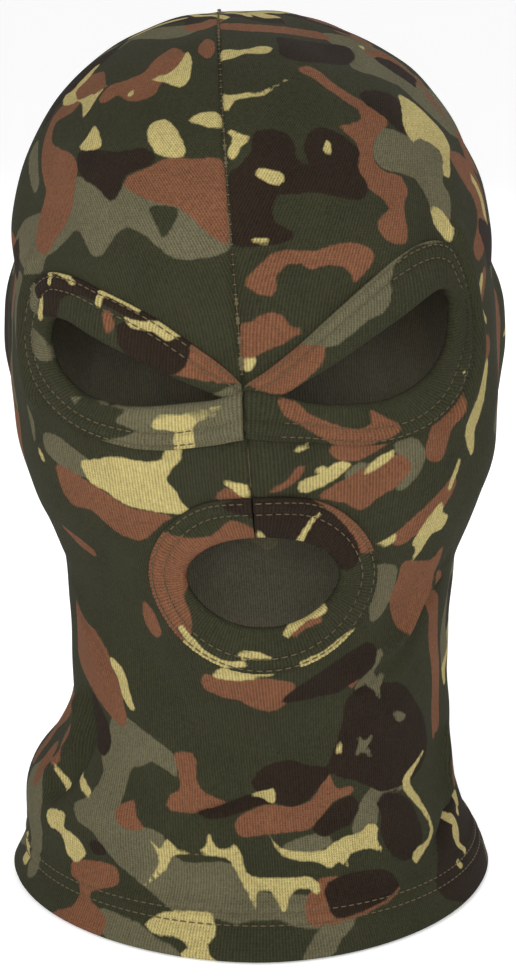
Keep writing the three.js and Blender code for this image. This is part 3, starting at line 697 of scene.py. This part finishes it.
# ======== the body ========
def fold_height(at):
    height = np.zeros(len(at))
    for rise, half_width, *line in FOLDS:
        curve = smooth_line(line, False, 6)
        near = ((at > curve.min(0) - 14) & (at < curve.max(0) + 14)).all(1)
        distance = to_line(at[near], curve[:-1], curve[1:])[0].min(1)
        height[near] += rise * np.exp(-(distance / half_width) ** 2)
    return height


def unevenness(points, seed, size):
    """A soft, seeded waviness of the cloth."""
    random = np.random.default_rng(seed)
    total = np.zeros(points.shape[:-1])
    for _ in range(9):
        direction = random.normal(size=3)
        direction *= 2 * math.pi / (random.uniform(18, 46) * np.linalg.norm(direction))
        total += np.sin(points @ direction + random.uniform(0, 6.3))
    return size * total / 3


def body_half(sign, rows, columns):
    """One side of the hood: its points, places on the pattern and heights off the cloth surface."""
    lift, up = np.array(rows).T
    across = np.broadcast_to(sign * columns, (len(rows), len(columns)))
    up = np.broadcast_to(up[:, None], across.shape)
    surface = cloth_point(across, up)
    normal = cloth_normal(surface)
    level = normal * np.array([1.0, 1.0, 0.0])
    level /= np.linalg.norm(level, axis=-1, keepdims=True) + 1e-9
    edge = (1 - smooth_step(0, 20, up))[..., None]
    normal = normal * (1 - edge) + level * edge
    normal /= np.linalg.norm(normal, axis=-1, keepdims=True)
    return surface, normal, across, up, np.broadcast_to(lift[:, None], across.shape)


def body_rows(turn_up):
    inner = -(2.0 * turn_up + 0.4)
    rows = [(inner, z) for z in (HEM_TURN_UP, 12, 9, 6, 3.5)]
    middle = inner / 2
    for angle in np.linspace(180, 360, 9):
        turn = math.radians(angle)
        rows.append((middle - middle * math.cos(turn), 1.6 + 1.5 * math.sin(turn)))
    outside = [*np.arange(3, 7, 1.3), *np.arange(7, 17, 0.75), *np.arange(17.5, 199.5, 1.7)]
    outside += list(np.arange(200, DOME_Z + DOME_ARC - 1.5, 1.9)) + [DOME_Z + DOME_ARC]
    return rows + [(0.0, up) for up in outside]


FOLD_STRENGTH = 1.7
SEAM_GROOVE = (1.15, 1.3)  # depth and half width
HEM_STEP = 0.55  # the doubled hem stands out this far, and each needle row sinks back as far
CROWN_DROP = 1.4  # the body lies this much lower over the crown, and the seam's thread doesn't follow it


def relief(at, side_distance, surface, lift):
    """How far the outside of the body stands off the smooth cloth surface."""
    across, up = at[:, 0], at[:, 1]
    height = FOLD_STRENGTH * fold_height(at) * smooth_step(13, 26, up)
    height = height + unevenness(surface, 4, 0.5) * smooth_step(4, 30, up)
    seam = smooth_step(SEAM_FRONT_Z - 2, SEAM_FRONT_Z + 4, up) * (np.abs(across) < HALF_TURN / 2)
    seam += smooth_step(SEAM_NAPE_Z - 2, SEAM_NAPE_Z + 8, up) * (np.abs(across) >= HALF_TURN / 2)
    pucker = 0.22 * np.sin(up * 1.03) * np.exp(-(side_distance / 4.5) ** 2)
    height += seam * (pucker - SEAM_GROOVE[0] * np.exp(-(side_distance / SEAM_GROOVE[1]) ** 2))
    hem = HEM_STEP * (1 - smooth_step(14.4, 15.8, up))
    for row in HEM_ROWS:
        hem -= HEM_STEP * np.exp(-((up - row) / 0.75) ** 2)
    return np.where(lift < -0.01, 0, height + hem - CROWN_DROP * smooth_step(280, 350, up))


def binding_outlines():
    """Each binding's outer outline, seen from the front, as (x, z)."""
    turns = np.linspace(0, 2 * math.pi, 72, endpoint=False)
    ring = np.stack([MOUTH_MIDDLE[0] + MOUTH_OUTER[0] * np.cos(turns),
                     MOUTH_MIDDLE[1] + MOUTH_OUTER[1] * np.sin(turns)], -1)
    eyes = [np.array([outer for outer, _ in stations], float) for stations in (LEFT_EYE, RIGHT_EYE)]
    return eyes + [ring]


def make_body(cloth, materials):
    turn_up = cloth.thickness / MM
    rows = body_rows(turn_up)
    near = [0, 0.4, 0.9, 1.5, 2.3, 3.3]
    columns = np.array(near + list(np.arange(4.7, 118, 1.6)) + list(np.arange(118.5, HALF_TURN - 4, 3.2))
                       + [HALF_TURN - gap for gap in reversed(near)])
    halves = [body_half(sign, rows, columns) for sign in (1, -1)]
    shape = (len(rows), len(columns))
    surface, normal, across, up, lift = (
        np.concatenate([half[i].reshape((-1,) + half[i].shape[2:]) for half in halves]) for i in range(5))
    side = np.repeat([1.0, -1.0], shape[0] * shape[1])
    at = np.stack([across, up], -1)
    side_distance = np.minimum(np.abs(across), HALF_TURN - np.abs(across)) * 1.15
    gap = 0.12 * side * np.exp(-(side_distance / 0.3) ** 2)
    seam_foot = np.where(np.abs(across) < HALF_TURN / 2, SEAM_FRONT_Z, SEAM_NAPE_Z)
    split = smooth_step(0, 8, up - seam_foot)
    points = surface + normal * (lift + relief(at, side_distance, surface, lift))[:, None]
    points[:, 0] += gap * split

    index = np.arange(2 * shape[0] * shape[1]).reshape(2, *shape)
    row_up = np.array([up for _, up in rows])
    index[1, row_up <= SEAM_FRONT_Z, 0] = index[0, row_up <= SEAM_FRONT_Z, 0]
    index[1, row_up <= SEAM_NAPE_Z, -1] = index[0, row_up <= SEAM_NAPE_Z, -1]
    index[0, -1, :] = index[0, -1, 0]
    index[1, -1, :] = index[1, -1, 0]
    corners = np.concatenate([grid_faces(index[0]), grid_faces(index[1], flip=True)])

    inside = np.zeros(len(points), bool)
    base = surface / GRADE - CENTRING
    for outline in binding_outlines():
        box = (base[:, 1] < 0) & (np.abs(base[:, 2] - outline[:, 1].mean()) < 45)
        inside[box] |= patch_distance(base[box][:, [0, 2]], outline) < -HOLE_LAP
    corners = corners[~inside[corners].any(1)]
    faces = []
    for face in corners.tolist():
        trimmed = [corner for i, corner in enumerate(face) if corner != face[i - 1]]
        if len(trimmed) > 2:
            faces.append(trimmed)

    used = np.unique(np.concatenate([np.array(face) for face in faces]))
    order = np.full(len(points), -1)
    order[used] = np.arange(len(used))
    faces = [[int(order[corner]) for corner in face] for face in faces]

    dyes = no_dyes(len(points))
    dye_cloth(dyes, at, side, CROWN_PATCHES, CROWN_STROKES)
    dye_cloth(dyes, at, None, NECK_PATCHES, NECK_STROKES)
    free = np.abs(across) - FREE_PRINT_FROM + 7 * np.sin(up / 11)
    free = np.maximum(free, up - 326 - 6 * np.sin(across / 14))
    scatter_dyes(dyes, surface, free, 11)
    slant = 0.0062 * np.clip(up - 192, 0, 95) ** 2
    floats = dict(dyes)
    floats["wale"] = np.abs(across) * 1.12 - slant
    floats["course"] = up
    floats["knit"] = 1 - smooth_step(305, 338, up)
    floats = {key: np.asarray(values)[used] for key, values in floats.items()}
    body = make_piece("hood_body_jersey", points[used], faces, materials, floats)
    settle(body, "SOLIDIFY", thickness=cloth.thickness, offset=-1.0, use_rim=True,
           material_offset=1, material_offset_rim=1)
    body.data.polygons.foreach_set("use_smooth", [True] * len(body.data.polygons))
    sew_on(body, "print_jersey", "hood_body")
    return body


# ======== the bindings ========
NOSE_LAP = 1.5  # at the nose the lower arm of an eye binding lies this much higher, over the upper arm
# A binding's folded section: distance in from one of its edges, and height off the cloth.
OUTER_PART = ((0, .2), (.05, 1.0), (.45, 1.5), (1.3, .9), (2.1, 1.6), (3.3, 1.85), (4.5, 1.6), (5.3, .9),
              (6.1, 1.6), (7.9, 1.8))
EDGE_PART = ((2.4, 1.85), (.9, 1.45), (.15, .6), (0, -.7), (.5, -2.0), (1.8, -2.5))
INNER_LEG = ((3.2, -2.5), (2.7, -1.9), (3.2, -1.35))
SLOT = ((2.6, -1.35), (1.9, -.55), (2.6, .2))


def rails(stations, step):
    outer = np.array([station[0] for station in stations], float)
    inner = np.array([station[1] for station in stations], float)
    middle = (outer * 2 + inner) / 3
    keys = np.concatenate([[0], np.cumsum(np.linalg.norm(np.diff(middle, axis=0), axis=1) + 1e-6)])
    at = np.linspace(0, keys[-1], int(keys[-1] / step) + 1)
    return smooth_table(keys, outer, at), smooth_table(keys, inner, at)


def mouth_stations():
    stations = []
    for turn in np.linspace(MOUTH_SEAM_TURN - 0.008, MOUTH_SEAM_TURN - 2 * math.pi + 0.008, 61):
        x, z = math.cos(turn), math.sin(turn)
        outer = (MOUTH_MIDDLE[0] + MOUTH_OUTER[0] * x, MOUTH_MIDDLE[1] + MOUTH_OUTER[1] * z)
        pointed = 1 - 0.1 * abs(x) ** 3  # draws the hole to a soft point at each side
        hole = (MOUTH_MIDDLE[0] + MOUTH_HOLE[0] * x, MOUTH_MIDDLE[1] + MOUTH_HOLE[1] * z * pointed)
        stations.append((outer, hole))
    return stations


def on_binding(outer, inner, distance, from_outer=True):
    """Points a distance in from one edge of a binding, seen from the front."""
    width = np.linalg.norm(inner - outer, axis=-1)
    if from_outer:
        distance = distance * np.minimum(1, (width - 3) / 8.5)
        share = distance / width
    else:
        share = 1 - distance * np.minimum(1, width / 9) / width
    return outer + (inner - outer) * share[:, None]


def make_binding(name, stations, material, patches, strokes, lap_over=0.0, step=0.95):
    outer, inner = rails(stations, step)
    count = len(outer)
    section = [(distance, lift, True) for distance, lift in OUTER_PART]
    section += [(distance, lift, False) for distance, lift in EDGE_PART]
    section += [(distance, lift, True) for distance, lift in INNER_LEG]
    section += [(distance, lift, False) for distance, lift in SLOT]
    length = np.arange(count) * step
    rings, wale, course = [], [], []
    lap = lap_over * smooth_step(14, 3, length[-1] - length)
    ripple = unevenness(np.stack([length, 0 * length, 0 * length], -1), len(name), 0.22)
    for distance, lift, from_outer in section:
        front = on_binding(outer, inner, distance, from_outer)
        surface = front_point(front[:, 0], front[:, 1])
        height = lift + (ripple if lift > 0.3 else 0) + lap
        if lift > 0.9:
            height = height + 0.13 * np.cos(2 * math.pi * length / 2.9)
        rings.append(surface + cloth_normal(surface) * np.broadcast_to(height, (count,))[:, None])
        wale.append(length)
        width = np.linalg.norm(inner - outer, axis=-1)
        course.append(np.full(count, distance) if from_outer else width - distance)
    points = np.stack(rings, 1)
    across = points.shape[1]
    index = np.arange(count * across).reshape(count, across)
    index = np.concatenate([index, index[:, :1]], 1)
    faces = grid_faces(index, flip=True).tolist()
    faces += [index[0, :-1].tolist(), index[-1, :-1][::-1].tolist()]
    flat = points.reshape(-1, 3)
    dyes = no_dyes(len(flat))
    at = pattern_place(flat)
    dye_cloth(dyes, at, None, patches, strokes)
    floats = dict(dyes)
    floats["wale"] = np.stack(wale, 1).reshape(-1)
    floats["course"] = np.stack(course, 1).reshape(-1)
    floats["knit"] = np.ones(len(flat))
    piece = make_piece(name + "_cloth", flat, faces, [material], floats)
    sew_on(piece, "binding_jersey", name)
    sewn = on_binding(outer, inner, NEEDLE_ROWS[0])
    sewn = front_point(sewn[:, 0], sewn[:, 1])
    return piece


# ======== thread ========
# Heights here are off the smooth cloth surface, before the body's folds, groove and crown drop.
BINDING_ROW_LIFT = 1.2
HEM_ROW_LIFT = 0.2
SEAM_STITCH_LIFT = -0.55
SEAM_STITCH = (1.1, 0.45, 0.3)  # length, width and height
OVERLOCK_LIFT = -2.3
OVERLOCK = (2.4, 0.85)  # half width and half thickness


def grain():
    """One stitch lying on the cloth: a small bead of thread, long in x and flat in z."""
    points, faces = [(-0.5, 0, -0.3)], []
    rings = ((-0.42, 0.6), (-0.2, 0.95), (0.2, 0.95), (0.42, 0.6))
    for along, size in rings:
        for corner in range(7):
            turn = 2 * math.pi * corner / 7
            sag = 0.6 * along ** 2
            points.append((along, 0.5 * size * math.cos(turn), 0.5 * size * math.sin(turn) - sag))
    points.append((0.5, 0, -0.3))
    for ring in range(3):
        for corner in range(7):
            a, b = 1 + ring * 7 + corner, 1 + ring * 7 + (corner + 1) % 7
            faces.append((a, b, b + 7, a + 7))
    for corner in range(7):
        faces.append((0, 1 + (corner + 1) % 7, 1 + corner))
        faces.append((29, 22 + corner, 22 + (corner + 1) % 7))
    return np.array(points), faces


def stitches(name, centres, along, normals, size, material):
    """A piece made of one stitch at each centre."""
    template, faces = grain()
    along = along / np.linalg.norm(along, axis=-1, keepdims=True)
    across = np.cross(normals, along)
    length, width, height = size
    points = (centres[:, None] + along[:, None] * (template[:, 0] * length)[None, :, None]
              + across[:, None] * (template[:, 1] * width)[None, :, None]
              + normals[:, None] * (template[:, 2] * height)[None, :, None])
    step = len(template)
    all_faces = [[corner + i * step for corner in face] for i in range(len(centres)) for face in faces]
    return make_piece(name, points.reshape(-1, 3), all_faces, [material])


def along_path(path, pitch):
    """Evenly spaced spots on a path and the path's direction at each."""
    lengths = np.concatenate([[0], np.cumsum(np.linalg.norm(np.diff(path, axis=0), axis=1))])
    at = np.arange(pitch / 2, lengths[-1] - pitch / 3, pitch)
    spots = np.stack([np.interp(at, lengths, path[:, i]) for i in range(3)], -1)
    ahead = np.stack([np.interp(at + 0.4, lengths, path[:, i]) for i in range(3)], -1)
    behind = np.stack([np.interp(at - 0.4, lengths, path[:, i]) for i in range(3)], -1)
    return spots, ahead - behind


def stitch_row(name, path, lift, sewing, material, *nodes):
    spots, along = along_path(path, sewing.pitch / MM)
    normals = cloth_normal(spots)
    size = (sewing.length / MM, sewing.thread / MM, sewing.thread / MM)
    piece = stitches(name, spots + normals * lift, along, normals, size, material)
    sew_on(piece, "needle_thread", *nodes)
    return piece


def binding_rows(name, stations, sewing, material):
    outer, inner = rails(stations, 0.8)
    for label, distance in zip(("outer", "inner"), NEEDLE_ROWS):
        front = on_binding(outer, inner, distance)
        path = front_point(front[:, 0], front[:, 1])
        stitch_row(f"{name}_{label}_stitches", path, BINDING_ROW_LIFT, sewing, material,
                   f"{name}_{label}_needle_row")


def hem_row(name, up, sewing, material):
    across = np.linspace(-HALF_TURN, HALF_TURN, 500)
    stitch_row(name + "_stitches", cloth_point(across, up), HEM_ROW_LIFT, sewing, material, name)


def seam_path(start, end, across, lift):
    up = np.linspace(start, end, max(int(abs(end - start) / 0.375), 2))
    surface = cloth_point(across, up)
    normal = cloth_normal(surface)
    return surface + normal * lift, normal


def make_overlock(name, legs, material):
    """Seam edges wrapped in thread, lying flat against the inside of the cloth."""
    parts = [seam_path(*leg, OVERLOCK_LIFT) for leg in legs]
    path = np.concatenate([part[0] for part in parts])
    normal = np.concatenate([part[1] for part in parts])
    along = np.gradient(path, axis=0)
    along /= np.linalg.norm(along, axis=-1, keepdims=True)
    across = np.cross(normal, along)
    steps = np.arange(len(path))
    swell = 1 + 0.16 * np.cos(2 * math.pi * steps / 4)
    ends = np.minimum(1, np.minimum(steps + 1, len(path) - steps) / 5)
    turns = np.linspace(0, 2 * math.pi, 12, endpoint=False)
    wide = OVERLOCK[0] * np.cos(turns)[None, :, None]
    thick = OVERLOCK[1] * np.sin(turns)[None, :, None]
    size = (swell * ends)[:, None, None]
    points = path[:, None] + across[:, None] * wide * size + normal[:, None] * thick * size
    index = np.arange(len(path) * 12).reshape(len(path), 12)
    index = np.concatenate([index, index[:, :1]], 1)
    faces = grid_faces(index).tolist()
    faces += [index[0, :-1][::-1].tolist(), index[-1, :-1].tolist()]
    piece = make_piece(name + "_thread", points.reshape(-1, 3), faces, [material])
    sew_on(piece, "overlock_thread", name)


# ======== materials ========
def dyed(red, green, blue):
    """A colour as it looks on the cloth, from 0 to 255, as the light it reflects."""
    return tuple(((value / 255 + 0.055) / 1.055) ** 2.4 for value in (red, green, blue))


class Finish:
    """A material's nodes, added one at a time."""

    def __init__(self, name):
        self.material = bpy.data.materials.new(name)
        self.material.use_nodes = True
        self.tree = self.material.node_tree
        self.surface = self.tree.nodes["Principled BSDF"]

    def node(self, kind, settings=None, **sockets):
        """Adds a node: its settings first, then values or links by socket name or number."""
        made = self.tree.nodes.new("ShaderNode" + kind)
        for key, value in (settings or {}).items():
            setattr(made, key, value)
        for key, value in sockets.items():
            name = int(key[1:]) if key[1:].isdigit() else key.replace("_", " ")
            socket = made.inputs[name]
            self.feed(socket, value)
        return made

    def feed(self, socket, value):
        if isinstance(value, Amount):
            value = value.socket
        if isinstance(value, bpy.types.NodeSocket):
            self.tree.links.new(value, socket)
        else:
            socket.default_value = value

    def amount(self, name):
        return Amount(self, self.node("Attribute", {"attribute_name": name}).outputs["Fac"])

    def noise(self, scale, detail=2.0):
        place = self.node("TexCoord").outputs["Object"]
        made = self.node("TexNoise", Vector=place, Scale=scale, Detail=detail)
        return Amount(self, made.outputs["Fac"])

    def mix(self, share, first, second):
        made = self.node("Mix", {"data_type": "RGBA"}, i0=share, i6=first, i7=second)
        return made.outputs[2]

    def times(self, colour, share):
        """A colour made darker or lighter all alike."""
        grey = self.node("CombineColor", Red=share, Green=share, Blue=share).outputs[0]
        kind = {"data_type": "RGBA", "blend_type": "MULTIPLY"}
        made = self.node("Mix", kind, i0=1.0, i6=colour, i7=grey)
        return made.outputs[2]


class Amount:
    """A number on a socket. Arithmetic on it adds Math nodes."""

    def __init__(self, finish, socket):
        self.finish, self.socket = finish, socket

    def _math(self, operation, *others):
        values = {f"i{i}": other for i, other in enumerate(others)}
        made = self.finish.node("Math", {"operation": operation}, **values)
        return Amount(self.finish, made.outputs[0])

    def __add__(self, other):
        return self._math("ADD", self, other)

    def __sub__(self, other):
        return self._math("SUBTRACT", self, other)

    def __rsub__(self, other):
        return self._math("SUBTRACT", other, self)

    def __mul__(self, other):
        return self._math("MULTIPLY", self, other)

    __radd__ = __add__
    __rmul__ = __mul__

    def wave(self):
        return self._math("COSINE", self)

    def held(self, low=0.0, high=1.0):
        """Kept between two numbers."""
        return self._math("MINIMUM", self._math("MAXIMUM", self, low), high)


def jersey(name, dyes, cloth, fade=0.0):
    """Printed jersey: crisp dye edges, knit columns with painted shade in their grooves, and a dry, slightly fuzzy
    face.
    """
    finish = Finish(name)
    wobble = (finish.noise(420.0) - 0.5) * 1.1
    colour = (*dyes.ground, 1)
    for dye, tint in zip(DYES, (dyes.olive, dyes.ground, dyes.rust, dyes.brown, dyes.olive, dyes.yellow)):
        mask = ((0.35 - finish.amount(dye) - wobble) * 1.6).held()
        colour = finish.mix(mask, colour, (*tint, 1))
    if fade:
        colour = finish.mix(fade, colour, (*dyes.reverse, 1))
    turn = 2 * math.pi
    wale = (finish.amount("wale") * (turn / (cloth.wale_pitch / MM))).wave()
    course = (finish.amount("course") * (turn / (cloth.course_pitch / MM)) + wale * 1.7).wave()
    knit = finish.amount("knit")
    fibre = finish.noise(2600.0, 3.0)
    slub = finish.noise(950.0, 2.0)
    patchy = finish.noise(70.0)
    # Random fibre, slub and patch tone, plus painted shade: the colour darkens along the grooves between knit
    # columns and rows, in step with the bump below.
    tone = (patchy - 0.5) * 0.35 + (fibre - 0.5) * 0.8 + (slub - 0.5) * 0.75 + knit * wale * 0.2
    tone = tone + knit * course * 0.14 + 1.0
    finish.feed(finish.surface.inputs["Base Color"], finish.times(colour, tone))
    height = knit * wale * 0.5 + knit * course * 0.28 + fibre * 0.7
    bump = finish.node("Bump", None, Strength=0.55, Distance=cloth.knit_relief, Height=height)
    finish.feed(finish.surface.inputs["Normal"], bump.outputs[0])
    finish.feed(finish.surface.inputs["Roughness"], (fibre - 0.5) * 0.1 + 0.9)
    finish.surface.inputs["Specular IOR Level"].default_value = 0.05
    finish.surface.inputs["Sheen Weight"].default_value = 0.01
    finish.surface.inputs["Sheen Roughness"].default_value = 0.6
    return finish.material


def thread(name, tint):
    finish = Finish(name)
    twist = finish.noise(3200.0)
    tone = (twist - 0.5) * 0.5 + 1.0
    finish.feed(finish.surface.inputs["Base Color"], finish.times((*tint, 1), tone))
    bump = finish.node("Bump", None, Strength=0.5, Distance=0.00008, Height=twist)
    finish.feed(finish.surface.inputs["Normal"], bump.outputs[0])
    finish.surface.inputs["Roughness"].default_value = 0.75
    finish.surface.inputs["Specular IOR Level"].default_value = 0.3
    return finish.material


def studio_white(name, glow):
    finish = Finish(name)
    tone = (finish.noise(3.0) - 0.5) * 0.01 + 0.93
    white = finish.node("CombineColor", Red=tone, Green=tone, Blue=tone).outputs[0]
    finish.feed(finish.surface.inputs["Base Color"], white)
    finish.surface.inputs["Roughness"].default_value = 0.95
    finish.surface.inputs["Emission Color"].default_value = (1, 1, 1, 1)
    finish.surface.inputs["Emission Strength"].default_value = glow
    return finish.material


# ======== sizes and colours a user would change ========
class HoodDyes(PropertyGroup):
    ground: FloatVectorProperty(name="Ground", description="Dark green of the dyed cloth", size=3,
                                subtype="COLOR", default=dyed(46, 46, 32))
    olive: FloatVectorProperty(name="Olive", description="Greyish olive patches", size=3,
                               subtype="COLOR", default=dyed(86, 82, 62))
    rust: FloatVectorProperty(name="Rust", description="Red-brown patches", size=3,
                              subtype="COLOR", default=dyed(104, 69, 49))
    brown: FloatVectorProperty(name="Brown", description="Blackish brown patches", size=3,
                               subtype="COLOR", default=dyed(37, 29, 22))
    yellow: FloatVectorProperty(name="Yellow", description="Pale yellow flecks", size=3,
                                subtype="COLOR", default=dyed(159, 146, 95))
    reverse: FloatVectorProperty(name="Reverse", description="The cloth's unprinted back", size=3,
                                 subtype="COLOR", default=dyed(150, 145, 124))
    thread: FloatVectorProperty(name="Thread", description="Needle thread", size=3,
                                subtype="COLOR", default=dyed(84, 74, 52))


class HoodCloth(PropertyGroup):
    thickness: FloatProperty(name="Thickness", description="Thickness of the jersey", unit="LENGTH",
                             default=0.001, min=0.0004, max=0.003)
    wale_pitch: FloatProperty(name="Wale pitch", description="Width of one column of knit loops",
                              unit="LENGTH", default=0.00105, min=0.0004)
    course_pitch: FloatProperty(name="Course pitch", description="Height of one row of knit loops",
                                unit="LENGTH", default=0.0008, min=0.0003)
    knit_relief: FloatProperty(name="Knit relief", description="Depth of the loops", unit="LENGTH",
                               default=0.00028, min=0.0)
    cut_girth: FloatProperty(name="Cut girth", description="Girth as cut, a sixth under the head's",
                             unit="LENGTH", default=0.49, min=0.3)
    cut_length: FloatProperty(name="Cut length", description="Hem to crown as cut, with the hem allowance",
                              unit="LENGTH", default=0.365, min=0.2)
    holes_area: FloatProperty(name="Area of the holes", description="Cut out for the eyes and the mouth",
                              unit="AREA", default=0.005, min=0.0)
    strip_width: FloatProperty(name="Strip width", description="A binding strip before it is folded",
                               unit="LENGTH", default=0.024, min=0.01)


class HoodSewing(PropertyGroup):
    pitch: FloatProperty(name="Stitch pitch", description="From one stitch to the next", unit="LENGTH",
                         default=0.0029, min=0.001)
    length: FloatProperty(name="Stitch length", description="Thread showing in one stitch", unit="LENGTH",
                          default=0.0022, min=0.0005)
    thread: FloatProperty(name="Thread", description="Thickness of the needle thread", unit="LENGTH",
                          default=0.0005, min=0.0002)


class HoodStudio(PropertyGroup):
    front: FloatProperty(name="Front light", description="Power of the soft light near the camera",
                         subtype="POWER", default=7.0, min=0.0)
    key: FloatProperty(name="High lights", description="Power of each high soft light", subtype="POWER",
                       default=6.8, min=0.0)
    glow: FloatProperty(name="Floor glow", description="Light given off by the white floor", default=0.3,
                        min=0.0)
    sky: FloatProperty(name="Room light", description="Strength of the even room light", default=0.7,
                       min=0.0)


# ======== operators ========
FLOOR_Z = -0.4  # just clear of the hem
CAMERA_PLACE = (0.0011, -0.8773, 0.3331)  # in metres
CAMERA_TILT = 12.81  # degrees below level
CAMERA_LENS = (97.93, 36)  # focal length and sensor width


class OBJECT_OT_hood_stage(Operator):
    """Sets up the white studio, its lights and the camera"""

    bl_idname = "object.hood_stage"
    bl_label = "Studio"

    def execute(self, context):
        studio = context.scene.hood_studio
        camera = bpy.data.objects.new("camera", bpy.data.cameras.new("camera"))
        camera.location = CAMERA_PLACE
        camera.rotation_euler = (math.radians(90 - CAMERA_TILT), 0, 0)
        camera.data.lens, camera.data.sensor_width = CAMERA_LENS
        camera.data.clip_start, camera.data.clip_end = 0.05, 30
        context.scene.collection.objects.link(camera)
        context.scene.camera = camera
        context.scene.view_settings.view_transform = "Standard"

        turns = np.linspace(0, 2 * math.pi, 96, endpoint=False)
        reaches = (200, 600, 1800, 6000, 20000)
        points = [(reach * math.cos(turn), reach * math.sin(turn), FLOOR_Z)
                  for reach in reaches for turn in turns]
        index = np.arange(len(points)).reshape(len(reaches), len(turns))
        faces = grid_faces(np.concatenate([index, index[:, :1]], 1), flip=True).tolist()
        faces.append(index[0].tolist())
        make_piece("studio_floor", points, faces, [studio_white("studio_paper", studio.glow)])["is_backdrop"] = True

        world = bpy.data.worlds.new("room")
        world.use_nodes = True
        background = world.node_tree.nodes["Background"]
        background.inputs["Color"].default_value = (1, 1, 1, 1)
        background.inputs["Strength"].default_value = studio.sky
        context.scene.world = world
        for name, power, size, place in (
                ("front_light", studio.front, 0.4, (0.0, -1.25, 0.5)),
                ("key_light", studio.key, 0.8, (-0.5, -1.1, 1.2)),
                ("back_light", studio.key, 0.8, (0.6, 1.2, 1.1))):
            light = bpy.data.lights.new(name, "AREA")
            light.energy, light.size = power, size
            lamp = bpy.data.objects.new(name, light)
            lamp.location = place
            aim = Vector((0, 0, 0.15)) - lamp.location
            lamp.rotation_euler = aim.to_track_quat("-Z", "Y").to_euler()
            context.scene.collection.objects.link(lamp)
        return {"FINISHED"}


class OBJECT_OT_hood_body(Operator):
    """Knits and prints the hood's body with its turned-up hem and its centre seam"""

    bl_idname = "object.hood_body"
    bl_label = "Body"

    def execute(self, context):
        scene = context.scene
        face = jersey("printed_jersey", scene.hood_dyes, scene.hood_cloth)
        back = jersey("printed_jersey_reverse", scene.hood_dyes, scene.hood_cloth, fade=0.75)
        make_body(scene.hood_cloth, [face, back])
        return {"FINISHED"}


class OBJECT_OT_hood_bindings(Operator):
    """Folds a printed strip round each eye hole and round the mouth hole"""

    bl_idname = "object.hood_bindings"
    bl_label = "Bindings"

    def execute(self, context):
        scene = context.scene
        cloth = jersey("binding_jersey", scene.hood_dyes, scene.hood_cloth)
        for name, stations, patches, strokes, lap in (
                ("left_eye_binding", LEFT_EYE, LEFT_EYE_PATCHES, LEFT_EYE_STROKES, NOSE_LAP),
                ("right_eye_binding", RIGHT_EYE, RIGHT_EYE_PATCHES, RIGHT_EYE_STROKES, NOSE_LAP),
                ("mouth_binding", mouth_stations(), MOUTH_PATCHES, MOUTH_STROKES, 0.0)):
            make_binding(name, stations, cloth, patches, strokes, lap)
        return {"FINISHED"}


class OBJECT_OT_hood_stitching(Operator):
    """Sews the needle rows of the bindings and the hem"""

    bl_idname = "object.hood_stitching"
    bl_label = "Stitching"

    def execute(self, context):
        scene = context.scene
        needle = thread("needle_thread", scene.hood_dyes.thread)
        bound = {"left_eye": LEFT_EYE, "right_eye": RIGHT_EYE, "mouth": mouth_stations()}
        for name, stations in bound.items():
            binding_rows(name, stations, scene.hood_sewing, needle)
        for name, up in zip(("lower_hem_needle_row", "upper_hem_needle_row"), HEM_ROWS):
            hem_row(name, up, scene.hood_sewing, needle)
        return {"FINISHED"}


class OBJECT_OT_hood_seam(Operator):
    """Closes the centre seam with overlocked edges inside and stitches in the groove"""

    bl_idname = "object.hood_seam"
    bl_label = "Centre seam"

    def execute(self, context):
        overlock = thread("overlock_thread", context.scene.hood_dyes.thread)
        make_overlock("nose_seam_overlock", [(155, 169, 0)], overlock)
        make_overlock("crown_seam_overlock", [(190, 349.6, 0), (349.2, 148, HALF_TURN)], overlock)
        spots, normals = seam_path(190, 349, 0, SEAM_STITCH_LIFT)
        back, back_normals = seam_path(349, 152, HALF_TURN, SEAM_STITCH_LIFT)
        spots, normals = np.concatenate([spots, back])[::8], np.concatenate([normals, back_normals])[::8]
        along = np.cross(np.gradient(spots, axis=0), normals)
        piece = stitches("centre_seam_stitches", spots, along, normals, SEAM_STITCH, overlock)
        sew_on(piece, "overlock_thread")
        return {"FINISHED"}


class VIEW3D_PT_hood(Panel):
    """The hood's pieces, sizes and colours"""

    bl_label = "Hood"
    bl_space_type = "VIEW_3D"
    bl_region_type = "UI"
    bl_category = "Hood"

    def draw(self, context):
        for operator in OPERATORS:
            self.layout.operator(operator.bl_idname)
        for group in GROUPS:
            box = self.layout.box()
            for key in GROUPS[group].__annotations__:
                box.prop(getattr(context.scene, group), key)


GROUPS = {
    "hood_dyes": HoodDyes, "hood_cloth": HoodCloth, "hood_sewing": HoodSewing, "hood_studio": HoodStudio,
}
OPERATORS = (OBJECT_OT_hood_stage, OBJECT_OT_hood_body, OBJECT_OT_hood_bindings, OBJECT_OT_hood_stitching,
             OBJECT_OT_hood_seam)


def register():
    for cls in (*GROUPS.values(), *OPERATORS, VIEW3D_PT_hood):
        bpy.utils.register_class(cls)
    for name, group in GROUPS.items():
        setattr(bpy.types.Scene, name, PointerProperty(type=group))


def unregister():
    for name in GROUPS:
        delattr(bpy.types.Scene, name)
    for cls in reversed((*GROUPS.values(), *OPERATORS, VIEW3D_PT_hood)):
        bpy.utils.unregister_class(cls)


def main():
    register()
    bpy.ops.object.hood_stage()
    bpy.ops.object.hood_body()
    bpy.ops.object.hood_bindings()
    bpy.ops.object.hood_stitching()
    bpy.ops.object.hood_seam()
    bpy.context.view_layer.update()


if __name__ == "__main__":
    main()
